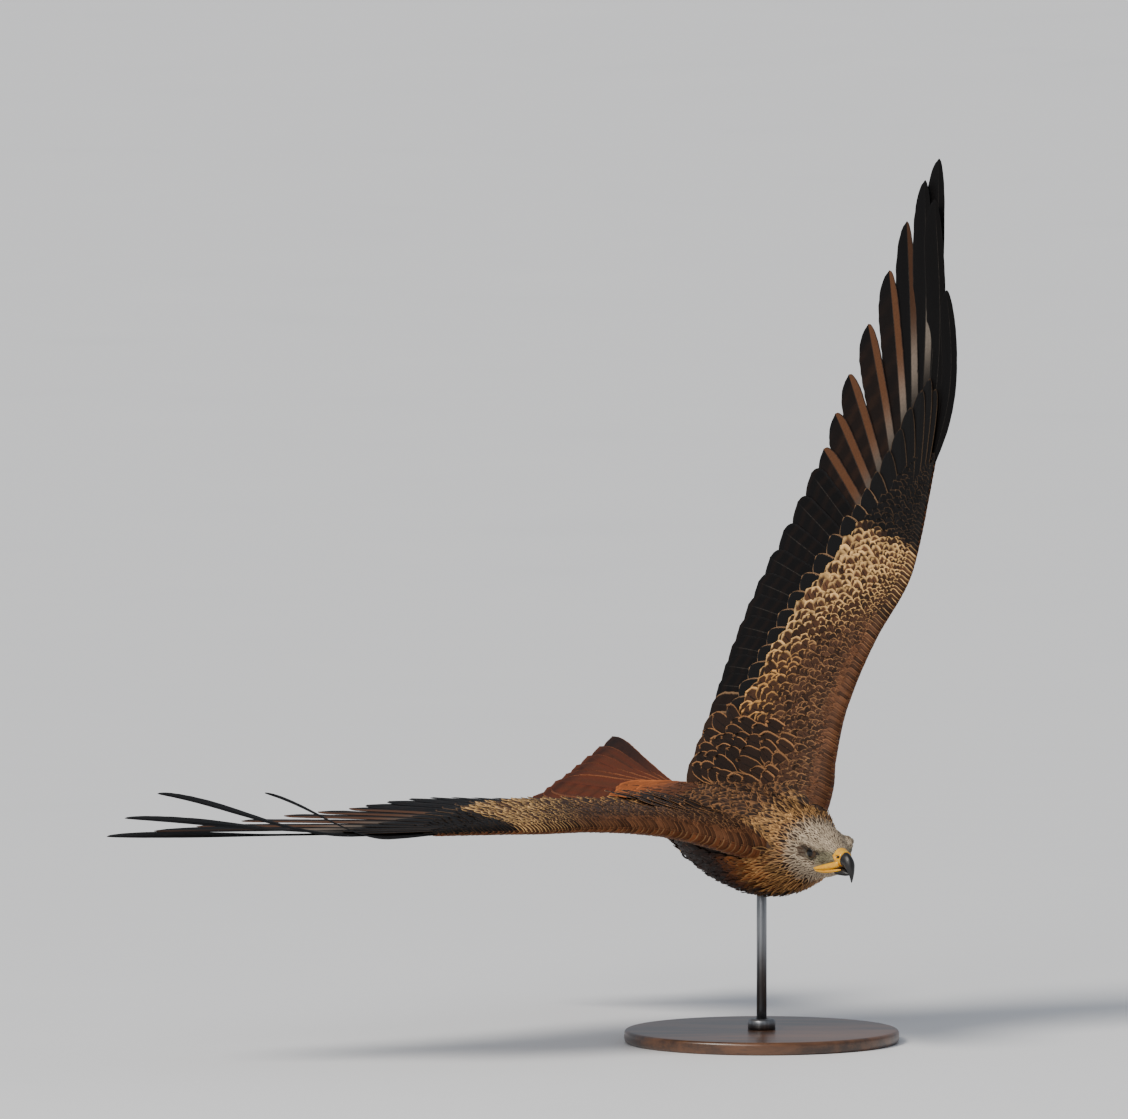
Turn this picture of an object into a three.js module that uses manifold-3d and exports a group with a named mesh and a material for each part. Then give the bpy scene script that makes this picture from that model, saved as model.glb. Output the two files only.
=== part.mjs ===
// A life-size red kite, banking to its right with both wings raised, on a plain display stand.
// Lengths are in millimetres and angles in degrees. The bird is built in its own frame, +X out of
// the bill, +Y to its left and +Z out of its back, and one group banks it over the stand.
// The part's frame has +Z up and its origin under the middle of the stand's base.
import * as THREE from "three";
import { mergeVertices } from "three/addons/utils/BufferGeometryUtils.js";
import Module from "manifold-3d";

const wasm = await Module();
wasm.setup();

// Driving sizes of the bird
const GAP = 0.3; // between touching pieces
const SHOULDER = new THREE.Vector3(55, 43, 22);
const TAIL_ROOT = new THREE.Vector3(-112, 0, 5);
const TAIL_LENGTH = { middle: 285, outer: 332 };
const TAIL_SPREAD = 19; // half of the fan
const VANE_THICK = 0.62;
const LAYER = 0.95; // from the middle of one vane to the next one that it lies on
const HEAD_AT = new THREE.Vector3(158, 0, -2);
const HEAD_SCALE = 1.14;
const EYE = { at: new THREE.Vector3(11, 14.2, 4.6), radius: 8.4 };

// How the bird is held in the air: turned about Z, then nose down, then rolled left wing up
const HEADING = -57.7;
const DIVE = 6.2;
const BANK = 28.3;
const HEAD_TURN = { yaw: -3.5, pitch: -1, roll: -25 }; // the head stays nearly level in the bank
const TAIL_TURN = { yaw: 3, droop: 7 };

// Rise is a wing's slope above level across the bird; lift is how far its fingertips bend up.
const LEFT_WING = { side: 1, armRise: 36.5, handRise: 45.4, lift: 12 };
const RIGHT_WING = { side: -1, armRise: 31.8, handRise: 26.6, lift: 52 };

// Stand
const BASE_RADIUS = 150;
const BASE_HEIGHT = 14;
const ROD_RADIUS = 5.5;
const COLLAR = { radius: 15, height: 12 };
const BIRD_HEIGHT = 236; // of the bird's own origin over the floor
const ROD_UNDER = new THREE.Vector3(34, 0, 0); // the point of the bird that stands over the rod

const rad = THREE.MathUtils.degToRad;
const lerp = THREE.MathUtils.lerp;
const smooth = THREE.MathUtils.smoothstep;
const clamp = THREE.MathUtils.clamp;
const P = (x, y, z) => new THREE.Vector3(x, y, z);

// Solids: three.js geometry in, manifold-3d to join and cut, three.js geometry out

function solidOf(geometry) {
  const bare = geometry.clone();
  bare.deleteAttribute("normal");
  bare.deleteAttribute("uv");
  const merged = mergeVertices(bare, 1e-4);
  const triVerts = new Uint32Array(merged.index.array);
  const vertProperties = new Float32Array(merged.attributes.position.array);
  const made = new wasm.Manifold(new wasm.Mesh({ numProp: 3, vertProperties, triVerts }));
  if (made.volume() >= 0) return made;
  for (let i = 0; i < triVerts.length; i += 3) {
    [triVerts[i + 1], triVerts[i + 2]] = [triVerts[i + 2], triVerts[i + 1]];
  }
  return new wasm.Manifold(new wasm.Mesh({ numProp: 3, vertProperties, triVerts }));
}

function geometryOf(solid) {
  const { vertProperties, triVerts, numProp } = solid.getMesh();
  const geometry = new THREE.BufferGeometry();
  const interleaved = new THREE.InterleavedBuffer(vertProperties, numProp);
  geometry.setAttribute("position", new THREE.InterleavedBufferAttribute(interleaved, 3, 0));
  geometry.setIndex(new THREE.BufferAttribute(triVerts, 1));
  const plain = geometry.toNonIndexed();
  plain.computeVertexNormals();
  return plain;
}

const join = (solids) => solids.reduce((sum, next) => sum.add(next));

// A node keeps only its largest closed surface, so no loose scrap or sealed hollow is left, and
// corners nearer to each other than a sliver's width become one.
const SLIVER = 0.02;

function largest(solid) {
  const bodies = solid.decompose().sort((a, b) => b.volume() - a.volume());
  return bodies[0].simplify(SLIVER);
}

// A skin through rings of points, each with the same count, closed by a flat fan at each end.
// Strips from `under` on are split on their other diagonal, so both faces of a thin vane match.
function loft(rings, under = Infinity) {
  const count = rings[0].length;
  const points = rings.flat();
  const index = [];
  for (let j = 0; j + 1 < rings.length; j++) {
    for (let k = 0; k < count; k++) {
      const a = j * count + k;
      const b = j * count + ((k + 1) % count);
      if (k < under) index.push(a, b, b + count, a, b + count, a + count);
      else index.push(a, b, a + count, b, b + count, a + count);
    }
  }
  const last = (rings.length - 1) * count;
  for (let k = 1; k + 1 < count; k++) {
    index.push(0, k + 1, k, last, last + k, last + k + 1);
  }
  const geometry = new THREE.BufferGeometry().setFromPoints(points);
  geometry.setIndex(index);
  return solidOf(geometry);
}

// Rounded cross-section in the plane of `across` and `up`, with its own reach above and below.
function roundRing(centre, across, up, wide, above, below, count) {
  const ring = [];
  for (let k = 0; k < count; k++) {
    const turn = (2 * Math.PI * k) / count;
    const height = Math.sin(turn) > 0 ? above : below;
    const point = centre.clone().addScaledVector(across, wide * Math.cos(turn));
    ring.push(point.addScaledVector(up, height * Math.sin(turn)));
  }
  return ring;
}

// The same ring set square across the bird
const uprightRing = (centre, ...sizes) => roundRing(centre, P(0, 1, 0), P(0, 0, 1), ...sizes);

// Smooth values between stations: each row is a place followed by its values.
function through(stations) {
  return (x) => {
    let i = 0;
    while (i + 2 < stations.length && x > stations[i + 1][0]) i++;
    const [before, from, to, after] = [i - 1, i, i + 1, i + 2].map(
      (k) => stations[clamp(k, 0, stations.length - 1)],
    );
    const step = to[0] - from[0];
    const t = clamp((x - from[0]) / step, 0, 1);
    return from.slice(1).map((start, c) => {
      const end = to[c + 1];
      const slopeIn = ((end - before[c + 1]) / (to[0] - before[0])) * step;
      const slopeOut = ((after[c + 1] - start) / (after[0] - from[0])) * step;
      const bend = (2 * t - 3) * t * t + 1;
      return bend * start + t * (1 - t) ** 2 * slopeIn + (1 - bend) * end - t * t * (1 - t) * slopeOut;
    });
  };
}

// A tapered tube along a smooth path, as one closed skin.
function taper(points, radii, count = 8, steps = 8, flatten = 1) {
  const path = new THREE.CatmullRomCurve3(points);
  const width = through(radii.map((radius, i) => [i / (radii.length - 1), radius]));
  const frames = path.computeFrenetFrames(steps, false);
  const rings = [];
  for (let j = 0; j <= steps; j++) {
    const [radius] = width(j / steps);
    const centre = path.getPointAt(j / steps);
    const high = radius * flatten;
    rings.push(roundRing(centre, frames.normals[j], frames.binormals[j], radius, high, high, count));
  }
  return loft(rings);
}

// Share of a vane's full width at t, from 0 at its quill to 1 at its tip.
function vaneWidth(t, roundFrom) {
  const root = lerp(0.3, 1, smooth(t, 0, 0.3));
  const past = clamp((t - roundFrom) / (1 - roundFrom), 0, 1);
  return root * Math.max(Math.sqrt(1 - past ** 2.2), 0.16);
}

// One flat feather. `place` takes a share of its length, a distance to its inner side and a height.
function vane(place, { lead, trail, steps, roundFrom = 0.78, notch = 0 }) {
  const rings = [];
  for (let j = 0; j <= steps; j++) {
    const t = 1 - (1 - j / steps) ** 1.3;
    const narrowed = 1 - notch * smooth(t, 0.4, 0.6);
    const front = -lead * vaneWidth(t, roundFrom) * narrowed;
    const back = trail * vaneWidth(t, roundFrom) * narrowed;
    const half = lerp(VANE_THICK, VANE_THICK * 0.7, t) / 2;
    const corners = [[front, half], [back, half], [back, -half], [front, -half]];
    rings.push(corners.map(([aside, height]) => place(t, aside, height)));
  }
  return loft(rings, 2);
}

// The half of space in front of `point`, as a large box.
function ahead(point, direction) {
  const size = 900;
  const box = new THREE.BoxGeometry(size, size, size).translate(size / 2, 0, 0);
  const turn = new THREE.Quaternion().setFromUnitVectors(P(1, 0, 0), direction.clone().normalize());
  return solidOf(box.applyQuaternion(turn).translate(point.x, point.y, point.z));
}

// Body and neck: place along the bird, height of the middle, half width, reach above and below
const BODY = through([
  [-134, 5, 18, 8, 20],
  [-108, 4, 38, 15, 40],
  [-68, 2, 54, 28, 58],
  [-20, 0, 64, 39, 66],
  [30, -2, 66, 44, 68],
  [72, -3, 61, 43, 64],
  [102, -1, 52, 38, 57],
  [124, 1, 42, 35, 48],
  [146, 2, 32, 31, 38],
]);
const BODY_ENDS = [-134, 146];
const TORSO_ENDS = [TAIL_ROOT.x, 104];

function bodyForm(grow = 0, steps = 20, count = 22) {
  const rings = [];
  for (let j = 0; j <= steps; j++) {
    const x = lerp(BODY_ENDS[0] - grow, BODY_ENDS[1] + grow, j / steps);
    const [height, wide, above, below] = BODY(x);
    rings.push(uprightRing(P(x, 0, height), wide + grow, above + grow, below + grow, count));
  }
  return loft(rings);
}

// Head, in its own frame: +X out of the bill, with the origin between and behind the eyes
const headFrame = new THREE.Matrix4().compose(
  HEAD_AT,
  new THREE.Quaternion().setFromEuler(
    new THREE.Euler(rad(HEAD_TURN.roll), rad(HEAD_TURN.pitch), rad(HEAD_TURN.yaw), "ZYX"),
  ),
  P(HEAD_SCALE, HEAD_SCALE, HEAD_SCALE),
);
const inHead = (solid) => solid.transform(headFrame.elements);

const SKULL = through([
  [-42, 5, 18, 17, 19],
  [-30, 3, 23, 22, 24],
  [-15, 1, 26, 25.5, 26],
  [0, 0, 26, 26.5, 25],
  [12, 0, 23.4, 25, 22],
  [22, 0, 19, 21.4, 18.5],
  [31, -0.5, 13.4, 16.6, 14.5],
  [38, -1, 8.4, 12.4, 11],
]);

function skullForm() {
  const rings = [];
  const steps = 13;
  for (let j = 0; j <= steps; j++) {
    const x = lerp(-42, 36, j / steps);
    const [height, wide, above, below] = SKULL(x);
    rings.push(uprightRing(P(x, 0, height), wide, above, below, 22));
  }
  return loft(rings);
}

function ball(at, x, y, z, detail = 12) {
  const round = new THREE.SphereGeometry(1, detail, detail - 4);
  return solidOf(round.scale(x, y, z).translate(at.x, at.y, at.z));
}

// Upper bill: the ridge over the bill and the cutting edge under it, as places along and up
const RIDGE = through([
  [0, 45.3, 10.2, 45.3, -5.2, 7],
  [0.3, 50.2, 8, 48, -5.8, 6.2],
  [0.55, 54.4, 3.8, 50.2, -6.8, 5],
  [0.75, 57, -2.4, 52.2, -8.6, 3.8],
  [0.9, 57.8, -9.8, 54.4, -12.4, 2.2],
  [1, 56.2, -17.8, 55.8, -18, 0.5],
]);

function billUpper() {
  const rings = [];
  const steps = 10;
  for (let j = 0; j <= steps; j++) {
    const [topX, topZ, lowX, lowZ, wide] = RIDGE(j / steps);
    const centre = P((topX + lowX) / 2, 0, (topZ + lowZ) / 2);
    const up = P(topX - lowX, 0, topZ - lowZ);
    const half = up.length() / 2;
    rings.push(roundRing(centre, P(0, 1, 0), up.normalize(), wide, half, half, 14));
  }
  return loft(rings);
}

const JAW = through([
  [32, -6.4, -15, 7.2],
  [42, -6.2, -13.8, 6],
  [48, -7.3, -12.6, 4.4],
  [52.4, -9.4, -11, 1.6],
]);

function billLower(grow = 0) {
  const rings = [];
  const steps = 6;
  for (let j = 0; j <= steps; j++) {
    const x = lerp(32 - grow, 52.4, j / steps);
    const [top, low, wide] = JAW(x);
    const half = (top - low) / 2 + grow;
    rings.push(uprightRing(P(x, 0, (top + low) / 2), wide + grow, half, half, 12));
  }
  return loft(rings);
}

const CERE_END = 45;

// Cere, with the yellow lips that run back from it under each eye
const CERE = through([
  [28, 4.4, 9.8, 10.4],
  [36, 3.4, 8.5, 9.2],
  [45, 2.4, 7.2, 7.8],
]);

function cereForm(grow = 0) {
  const rings = [];
  const steps = 5;
  for (let j = 0; j <= steps; j++) {
    const x = lerp(28, CERE_END + grow, j / steps);
    const [height, wide, tall] = CERE(x);
    rings.push(uprightRing(P(x, 0, height), wide + grow, tall + grow, tall + grow, 16));
  }
  const lips = [-1, 1].map((side) => {
    const line = [P(39, side * 6, -3), P(30, side * 12.2, -6.8), P(16, side * 18.6, -10.4)];
    return taper(line, [2 + grow, 2 + grow, 1 + grow], 8, 5);
  });
  return join([loft(rings), ...lips]);
}

const LID_RADIUS = EYE.radius + 1.5;
const LID_OPEN = { long: 6.6, high: 5.4 }; // half of the opening between the lids

const EYE_SIDES = 12;

function eyeball(eye, grow = 0) {
  const radius = EYE.radius + grow;
  return ball(eye, radius, radius, radius, EYE_SIDES);
}

// A rod with an oval section, out through the eye, that leaves the opening between its lids
function lidOpening(eye, side) {
  const rod = new THREE.CylinderGeometry(1, 1, 30, 14).scale(LID_OPEN.long, 1, LID_OPEN.high);
  return solidOf(rod.rotateZ(side * rad(-12)).translate(eye.x + 3, side * (15 + EYE.at.y), eye.z));
}

function headPieces() {
  const eyes = [-1, 1].map((side) => P(EYE.at.x, side * EYE.at.y, EYE.at.z));
  let head = skullForm();
  for (const eye of eyes) {
    const side = Math.sign(eye.y);
    const brow = taper(
      [P(27, side * 13.6, 9.4), P(13, side * 20.6, 12.4), P(-4, side * 23.6, 12)],
      [1.4, 3.8, 1.4],
      7,
      6,
    );
    const hollow = ball(P(eye.x + 1, side * 26.6, eye.z), 11, 5.6, 7.4, 10);
    const lids = ball(eye, LID_RADIUS, LID_RADIUS, LID_RADIUS, EYE_SIDES);
    head = head.subtract(hollow).add(brow).add(lids.subtract(lidOpening(eye, side)));
  }
  const nostrils = [-1, 1].map((side) => ball(P(38.6, side * 8.2, 5), 2.4, 3, 1.3, 8));
  const opened = cereForm().subtract(billLower(GAP)).subtract(join(nostrils));
  return {
    head,
    sockets: eyes.map((eye) => eyeball(eye, GAP)),
    cere: opened.subtract(ahead(P(CERE_END, 0, 0), P(1, 0, 0))),
    billUpper: billUpper().subtract(billLower(GAP)),
    billLower: billLower(),
    eyes: eyes.map((eye) => eyeball(eye)),
  };
}

// Wings. A wing is laid out flat, `out` along its span from the shoulder and `fore` ahead of the
// shoulder, and is then rolled along the bird's own axis to its rise.
const SPAN = 712;
const WRIST_OUT = 262;
const HAND_CORE_END = 392;
const LEADING = through([
  [-40, 60],
  [22, 50],
  [53, 36],
  [110, 20],
  [193, 18],
  [262, 29],
  [312, 24],
  [354, 16],
  [430, 0],
  [495, -8],
  [560, -46],
  [668, -126],
  [712, -158],
]);
const CAMBER = { arm: 10, hand: 4, middle: -95, reach: 130 };

// Places on a wing, from out along it, fore of the shoulder's line and up off its middle
function wingSurface({ side, armRise, handRise }) {
  const step = 4;
  const path = [];
  let [y, z] = [-40 * Math.cos(rad(armRise)), -40 * Math.sin(rad(armRise))];
  for (let out = -40; out <= SPAN + 40; out += step) {
    const rise = rad(lerp(armRise, handRise, smooth(out, WRIST_OUT - 60, WRIST_OUT + 60)));
    path.push([out, y, z, rise]);
    y += step * Math.cos(rise);
    z += step * Math.sin(rise);
  }
  const at = through(path);
  return (out, fore, up) => {
    const [across, high, rise] = at(out);
    const bowed = 1 - ((fore - CAMBER.middle) / CAMBER.reach) ** 2;
    const camber = lerp(CAMBER.arm, CAMBER.hand, smooth(out, 150, 450)) * bowed;
    const lifted = up + camber;
    return P(
      SHOULDER.x + fore,
      side * (SHOULDER.y + across - lifted * Math.sin(rise)),
      SHOULDER.z + high + lifted * Math.cos(rise),
    );
  };
}

const SECTION = [0, 0.05, 0.18, 0.38, 0.65, 1]; // places across the flesh of a wing, from its front

function wingCore(surface, rear, depth, end, grow = 0) {
  const rings = [];
  const steps = 15;
  for (let j = 0; j <= steps; j++) {
    const out = lerp(-30, end, j / steps);
    const [front] = LEADING(out);
    const [back] = rear(out);
    const [above, below] = depth(out);
    const face = (share, reach) => {
      const height = Math.max(reach * 2.6 * Math.sqrt(share) * (1 - share), 0.7);
      return [lerp(front, back, share), height];
    };
    const ring = SECTION.map((share) => {
      const [fore, height] = face(share, above);
      return surface(out, fore, share ? height : 0);
    });
    for (const share of SECTION.slice(1).reverse()) {
      const [fore, height] = face(share, below);
      ring.push(surface(out, fore, -height));
    }
    rings.push(ring);
  }
  return loft(rings);
}

// Flesh and small coverts of a wing: its rear edge and its reach above and below
const FLESH_REAR = through([
  [-40, -64],
  [40, -84],
  [150, -78],
  [240, -60],
  [310, -38],
  [392, -8],
]);
const FLESH_DEPTH = through([
  [-40, 18, 24],
  [53, 13, 16],
  [150, 9, 10],
  [262, 7, 7],
  [330, 5, 4.4],
  [392, 2.6, 2],
]);

// Flight feathers are counted from the innermost tertial, 0, out to the tenth primary.
const ARM_FEATHERS = 14;
const HAND_FEATHERS = 10;
const ARM_TIPS = through([
  [0, -6, -210],
  [3, 66, -220],
  [7, 158, -238],
  [10, 240, -238],
  [13, 342, -211],
]);
const HAND_TIPS = through([
  [1, 371, -201],
  [3, 457, -197],
  [5, 579, -180],
  [7, 676, -177],
  [8, 711, -162],
  [9, 668, -128],
  [10, 562, -54],
]);

function flightFeather(i) {
  if (i < ARM_FEATHERS) {
    const share = i / (ARM_FEATHERS - 1);
    return {
      root: [lerp(26, 266, share), lerp(-46, -20, share)],
      tip: ARM_TIPS(i),
      lead: 14,
      trail: 28,
      bow: 3,
    };
  }
  const number = i - ARM_FEATHERS + 1;
  const share = (number - 1) / (HAND_FEATHERS - 1);
  const long = number > 5;
  return {
    root: [lerp(277, 374, share), lerp(-16, 6, share)],
    tip: HAND_TIPS(number),
    lead: number > 8 ? 9 : 11,
    trail: number > 9 ? 17 : 27,
    notch: long ? 0.3 : 0,
    roundFrom: long ? 0.66 : 0.78,
    bow: 4 + 15 * share ** 2,
    lifted: [0.1, 0.25, 1, 1][number - 7] ?? 0,
  };
}

const NEAREST_SHAFTS = 7;

// A vane along part of flight feather i's shaft, from share `start` to `end`, `up` above it. Each
// one's front edge lies over the next one out, tilted so that a clear gap stays between them.
function wingVane(surface, i, pose, { start = 0, end = 1, up = 0, wide = 1, steps = 5 }) {
  const feather = flightFeather(i);
  const beside = flightFeather(i + 1 < ARM_FEATHERS + HAND_FEATHERS ? i + 1 : i - 1);
  const [run, back] = [feather.tip[0] - feather.root[0], feather.tip[1] - feather.root[1]];
  const length = Math.hypot(run, back);
  const inward = [back / length, -run / length];
  const spacing = (share) => {
    const apart = [0, 1].map((c) => {
      const [near, far] = [beside.root[c] - feather.root[c], beside.tip[c] - feather.tip[c]];
      return lerp(near, far, share);
    });
    return Math.max(Math.abs(apart[0] * inward[0] + apart[1] * inward[1]), NEAREST_SHAFTS);
  };
  const place = (t, aside, height) => {
    const share = lerp(start, end, t);
    const inside = aside - feather.bow * 4 * share * (1 - share);
    const out = feather.root[0] + run * share + inside * inward[0];
    const fore = feather.root[1] + back * share + inside * inward[1];
    const lift = pose.lift * (feather.lifted ?? 0) * smooth(share, 0.35, 1.1);
    return surface(out, fore, up + lift + height - (aside * LAYER) / spacing(share));
  };
  const whole = end === 1;
  return vane(place, {
    lead: feather.lead * wide,
    trail: feather.trail * wide,
    steps,
    roundFrom: whole ? feather.roundFrom : 0.6,
    notch: whole ? feather.notch : 0,
  });
}

// Tiers of coverts: where they start and end along their flight feather, how far off its vane they
// lie at the body and at the wingtip, how wide they are beside it and how often one is laid.
const GREATER = { start: -0.06, armEnd: 0.5, handEnd: 0.34, up: [3.4, 2], wide: 0.8 };
const UNDER = { start: 0, shorter: 0.06, up: [-3.8, -2], wide: 1.7, every: 3 };
const MEDIAN = { start: -0.14, end: 0.27, up: 6, wide: 1.2, every: 2 };
const COVERT_STEPS = 3;

function wing(pose) {
  const surface = wingSurface(pose);
  const made = [wingCore(surface, FLESH_REAR, FLESH_DEPTH, HAND_CORE_END)];
  const lay = (i, tier, end, up) => {
    const { start, wide } = tier;
    made.push(wingVane(surface, i, pose, { start, end, up, wide, steps: COVERT_STEPS }));
  };
  for (let i = 0; i < ARM_FEATHERS + HAND_FEATHERS; i++) {
    made.push(wingVane(surface, i, pose, {}));
    if (i === ARM_FEATHERS + HAND_FEATHERS - 1) break;
    const share = Math.max(i - ARM_FEATHERS + 1, 0) / HAND_FEATHERS;
    const end = lerp(GREATER.armEnd, GREATER.handEnd, smooth(i, ARM_FEATHERS - 3, ARM_FEATHERS + 2));
    lay(i, GREATER, end, lerp(...GREATER.up, share));
    if (i % UNDER.every === 0) lay(i, UNDER, end - UNDER.shorter, lerp(...UNDER.up, share));
    if (i < ARM_FEATHERS && i % MEDIAN.every === 0) lay(i, MEDIAN, MEDIAN.end, MEDIAN.up);
  }
  return join(made);
}

// Tail, in its own frame: +X back along the tail, +Y to the bird's left
const tailFrame = new THREE.Matrix4().compose(
  TAIL_ROOT,
  new THREE.Quaternion().setFromEuler(new THREE.Euler(0, rad(-TAIL_TURN.droop), rad(TAIL_TURN.yaw), "ZYX")),
  P(1, 1, 1),
);
const onTail = (along, aside, up) => P(-along, aside, up).applyMatrix4(tailFrame);

const TAIL_FEATHERS = 6; // on each side
const TAIL_FLESH = through([
  [-GAP, 31, 14, 30],
  [30, 27, 11, 21],
  [70, 24, 7.5, 12],
  [112, 12, 4.4, 4.4],
]);

function tailFlesh(grow = 0) {
  const rings = [];
  const steps = 7;
  for (let j = 0; j <= steps; j++) {
    const along = lerp(-GAP - grow, 112 + grow, j / steps);
    const [half, above, below] = TAIL_FLESH(along);
    rings.push(uprightRing(onTail(along, 0, 0), half + grow, above + grow, below + grow, 14));
  }
  return loft(rings);
}

// A tail feather at `angle` degrees to the left, with its own length, height and half widths
function tailVane({ angle, length, up, outer, inside, from = 8, curve = 0, steps = 5, roundFrom = 0.8 }) {
  const side = Math.sign(angle) || 1;
  const lean = rad(angle);
  const place = (t, inner, height) => {
    const along = lerp(from, length, t);
    const across = side * (curve * t * t - inner);
    const back = along * Math.cos(lean) - across * Math.sin(lean);
    const aside = along * Math.sin(lean) + across * Math.cos(lean);
    return onTail(back, aside, up + height);
  };
  return vane(place, { lead: outer, trail: inside, steps, roundFrom });
}

// Coverts over and under the tail's root
const RUMP = { from: 30, over: 138, below: 160, off: 4.6, half: 14, angles: [-10, 0, 10] };

function tail() {
  const made = [tailFlesh()];
  for (let number = 1; number <= TAIL_FEATHERS; number++) {
    for (const side of [-1, 1]) {
      const share = (number - 1) / (TAIL_FEATHERS - 1);
      const layer = number > 1 || side < 0 ? number : 0;
      made.push(
        tailVane({
          angle: side * TAIL_SPREAD * ((number - 0.6) / (TAIL_FEATHERS - 0.6)) * 0.92,
          length: lerp(TAIL_LENGTH.middle, TAIL_LENGTH.outer, share ** 1.3),
          up: 3 - layer * LAYER,
          outer: lerp(22, 13, share),
          inside: 24,
          curve: 9 * share,
        }),
      );
    }
  }
  for (const [i, angle] of RUMP.angles.entries()) {
    const off = RUMP.off + (i % 2) * LAYER + i * 0.01;
    const shape = { angle, from: RUMP.from, outer: RUMP.half, inside: RUMP.half, steps: 3, roundFrom: 0.6 };
    made.push(tailVane({ ...shape, length: RUMP.over, up: off }));
    made.push(tailVane({ ...shape, length: RUMP.below, up: -off }));
  }
  return join(made);
}

// Legs, drawn up against the belly with the toes closed
function leg(side) {
  const shank = taper(
    [P(-44, side * 26, -44), P(-76, side * 23, -49), P(-104, side * 18, -42)],
    [9, 4.6, 3.8],
    8,
    5,
  );
  const toes = [-0.9, 0, 0.9].map((spread) =>
    taper(
      [
        P(-100, side * 18 + spread * 2, -43),
        P(-117, side * 18 + spread * 7, -40),
        P(-128, side * 18 + spread * 7, -45),
        P(-124, side * 18 + spread * 5, -53),
      ],
      [3.2, 3, 2.6, 0.6],
      6,
      6,
    ),
  );
  return join([shank, ...toes]);
}

// Everything in the bird's frame, then the group that banks it
function material(color, roughness = 0.85, metalness = 0) {
  return new THREE.MeshStandardMaterial({ color, roughness, metalness });
}

const plumage = {
  head: material(0xb9b4aa),
  neck: material(0x9a7550),
  body: material(0x7c4a2a),
  wing: material(0x33241c),
  tail: material(0x9a4a22),
};
const cereSkin = material(0xe6b92a, 0.5);
const horn = material(0x26241f, 0.35);
const iris = material(0xc9b98a, 0.1);
const legSkin = material(0xd9a92c, 0.6);
const steel = material(0x8d9094, 0.3, 1);
const wood = material(0x6b4a30, 0.5);

const bird = new THREE.Group();
const direction = new THREE.Matrix4().makeRotationFromEuler(
  new THREE.Euler(rad(BANK), rad(DIVE), rad(HEADING), "ZYX"),
);
bird.setRotationFromMatrix(direction);
const under = ROD_UNDER.clone().applyMatrix4(direction);
bird.position.set(-under.x, -under.y, BIRD_HEIGHT);
bird.updateMatrixWorld(true);

function addTo(group, name, solid, look) {
  const mesh = new THREE.Mesh(geometryOf(largest(solid)), look);
  mesh.name = name;
  group.add(mesh);
}

const kite = new THREE.Group();
kite.add(bird);

const pieces = headPieces();
const whole = bodyForm().add(inHead(pieces.head));
const headCut = P(-24, 0, 0).applyMatrix4(headFrame);
const headAxis = P(1, 0, 0).transformDirection(headFrame);
const front = (shift) => ahead(headCut.clone().addScaledVector(headAxis, shift), headAxis);
const past = (x) => ahead(P(x, 0, 0), P(1, 0, 0));
const fromHead = [cereForm(GAP), billLower(GAP), ...pieces.sockets].map(inHead);
const head = fromHead.reduce((left, cut) => left.subtract(cut), whole.intersect(front(GAP / 2)));
const neck = whole.intersect(past(TORSO_ENDS[1] + GAP / 2)).subtract(front(-GAP / 2));
const torso = bodyForm().subtract(past(TORSO_ENDS[1] - GAP / 2)).intersect(past(TORSO_ENDS[0]));

addTo(bird, "head", head, plumage.head);
addTo(bird, "cere", inHead(pieces.cere), cereSkin);
addTo(bird, "bill_upper", inHead(pieces.billUpper), horn);
addTo(bird, "bill_lower", inHead(pieces.billLower), horn);
addTo(bird, "eye_right", inHead(pieces.eyes[0]), iris);
addTo(bird, "eye_left", inHead(pieces.eyes[1]), iris);
addTo(bird, "neck", neck, plumage.neck);
addTo(bird, "torso", torso, plumage.body);

const around = whole.add(bodyForm(GAP));
const clearOfBody = (solid) => solid.subtract(around).subtract(tailFlesh(GAP));
addTo(bird, "wing_left", clearOfBody(wing(LEFT_WING)), plumage.wing);
addTo(bird, "wing_right", clearOfBody(wing(RIGHT_WING)), plumage.wing);
addTo(bird, "tail", tail().subtract(past(TORSO_ENDS[0] - GAP)), plumage.tail);
addTo(bird, "leg_left", clearOfBody(leg(1)), legSkin);
addTo(bird, "leg_right", clearOfBody(leg(-1)), legSkin);

// Stand
const EDGE = 4; // chamfer round the base's top
const base = new THREE.LatheGeometry(
  [
    new THREE.Vector2(0, 0),
    new THREE.Vector2(BASE_RADIUS, 0),
    new THREE.Vector2(BASE_RADIUS, BASE_HEIGHT - EDGE),
    new THREE.Vector2(BASE_RADIUS - EDGE, BASE_HEIGHT),
    new THREE.Vector2(0, BASE_HEIGHT),
  ],
  40,
).rotateX(Math.PI / 2);

function upright(radius, from, to, sides) {
  const rod = new THREE.CylinderGeometry(radius, radius, to - from, sides).rotateX(Math.PI / 2);
  return solidOf(rod.translate(0, 0, (from + to) / 2));
}

const bodyInWorld = around.transform(bird.matrixWorld.elements);
const rod = upright(ROD_RADIUS, BASE_HEIGHT + GAP, BIRD_HEIGHT - 20, 20).subtract(bodyInWorld);
const collar = upright(COLLAR.radius, BASE_HEIGHT + GAP, BASE_HEIGHT + COLLAR.height, 24);
addTo(kite, "stand_base", solidOf(base), wood);
addTo(kite, "stand_collar", collar.subtract(upright(ROD_RADIUS + GAP, 0, 60, 20)), steel);
addTo(kite, "stand_rod", rod, steel);

export default kite;
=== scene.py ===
"""A life-size red kite, banking to its right with both wings raised, on a plain display stand.

The bird is made in its own frame, in millimetres: +X out of the bill, +Y to its left and +Z out of
its back. One matrix banks it over the stand and turns millimetres into metres.
"""

import math
from functools import partial

import bpy
import numpy as np
from bpy.props import FloatProperty, FloatVectorProperty, IntProperty, PointerProperty
from mathutils import Matrix, Vector
from mathutils.bvhtree import BVHTree


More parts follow.
